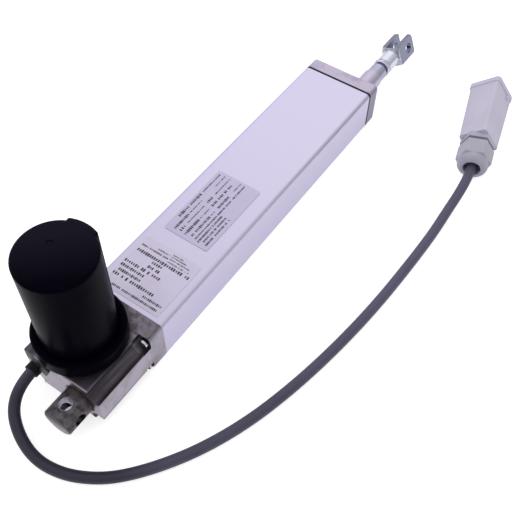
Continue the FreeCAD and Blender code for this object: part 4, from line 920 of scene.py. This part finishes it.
def row_lines(name, places, heights):
    """A mesh with one loose edge for each row, which keeps the height of the row's letters on its points."""
    mesh = bpy.data.meshes.new(name)
    ends = [end for row in places for end in row]
    mesh.from_pydata(ends, [(2 * i, 2 * i + 1) for i in range(len(places))], [])
    kept = mesh.attributes.new("letter_height", "FLOAT", "POINT")
    kept.data.foreach_set("value", [value * MM for value in heights for _ in range(2)])
    return mesh


def grown(tree, name, mesh, inputs, body):
    """Run a tree on a mesh and keep what it makes as a plain mesh that rides on a body."""
    piece = bpy.data.objects.new(name, mesh)
    bpy.context.scene.collection.objects.link(piece)
    modifier = piece.modifiers.new(tree.name, "NODES")
    modifier.node_group = tree
    for socket in tree.interface.items_tree:
        if socket.in_out == "INPUT" and socket.name in inputs:
            modifier[socket.identifier] = inputs[socket.name]
    ready = piece.evaluated_get(bpy.context.evaluated_depsgraph_get())
    plain = bpy.data.meshes.new_from_object(ready)
    piece.modifiers.remove(modifier)
    piece.data = plain
    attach(piece, body)
    print(name, "faces:", len(plain.polygons))


# Dull dark grey ink, a shade lighter than black
ink = moulded("printing_ink", "#35323E", "#3E3B48", roughness=0.5, grain=0.5, depth=0.01)
film_top = TUBE_TOP + (FILM_THICKNESS + INK_THICKNESS / 2) * MM
plate_top = TUBE_TOP + (PLATE_THICKNESS + INK_THICKNESS / 2) * MM
film_rows = row_lines("film_rows", [((x * MM, start * MM, film_top), (x * MM, stop * MM, film_top))
                                    for x, start, stop, _ in FILM_ROWS], [row[3] for row in FILM_ROWS])
plate_rows = row_lines("plate_rows", [((start * MM, y * MM, plate_top), (stop * MM, y * MM, plate_top))
                                      for y, start, stop, _ in PLATE_ROWS], [row[3] for row in PLATE_ROWS])
for name, rows, seed in (("film_words", film_rows, FILM_SEED), ("plate_words", plate_rows, PLATE_SEED)):
    grown(words, name, rows, {"Letter Width": LETTER_WIDTH, "Ink Thickness": INK_THICKNESS * MM, "Seed": seed,
                              "Ink": ink}, "housing")

# %% [markdown]
# Between the rod's nose and the lock nut a little of the stud shows, with its thread. The CAD stud is plain,
# so the thread is a ridge wound on it: a spiral curve with a small round section, made by a tree whose inputs
# are the thread's own sizes.

# %% Stud thread
THREAD = {"Radius": 5.0 * MM, "Pitch": 1.5 * MM, "Turns": 1.4, "Ridge": 0.45 * MM, "Start": 459.2 * MM}

thread, given = new_tree("stud_thread", [*((name, "Float") for name in THREAD), ("Metal", "Material")])
rise = add(thread, "ShaderNodeMath", {0: given["Pitch"], 1: given["Turns"]}, operation="MULTIPLY")
helix = add(thread, "GeometryNodeCurveSpiral", {
    "Resolution": 40, "Rotations": given["Turns"], "Start Radius": given["Radius"],
    "End Radius": given["Radius"], "Height": rise})
start = add(thread, "ShaderNodeCombineXYZ", {"X": given["Start"]})
laid = add(thread, "GeometryNodeTransform", {"Geometry": helix, "Translation": start,
                                             "Rotation": (0, math.pi / 2, 0)})
section = add(thread, "GeometryNodeCurvePrimitiveCircle", {"Resolution": 6, "Radius": given["Ridge"]})
ridge = add(thread, "GeometryNodeCurveToMesh", {"Curve": laid, "Profile Curve": section, "Fill Caps": True})
end_tree(thread, ridge, given["Metal"])
grown(thread, "stud_thread", bpy.data.meshes.new("stud_thread"),
      {**THREAD, "Metal": nodes["rod_nose"].data.materials[0]}, "rod")
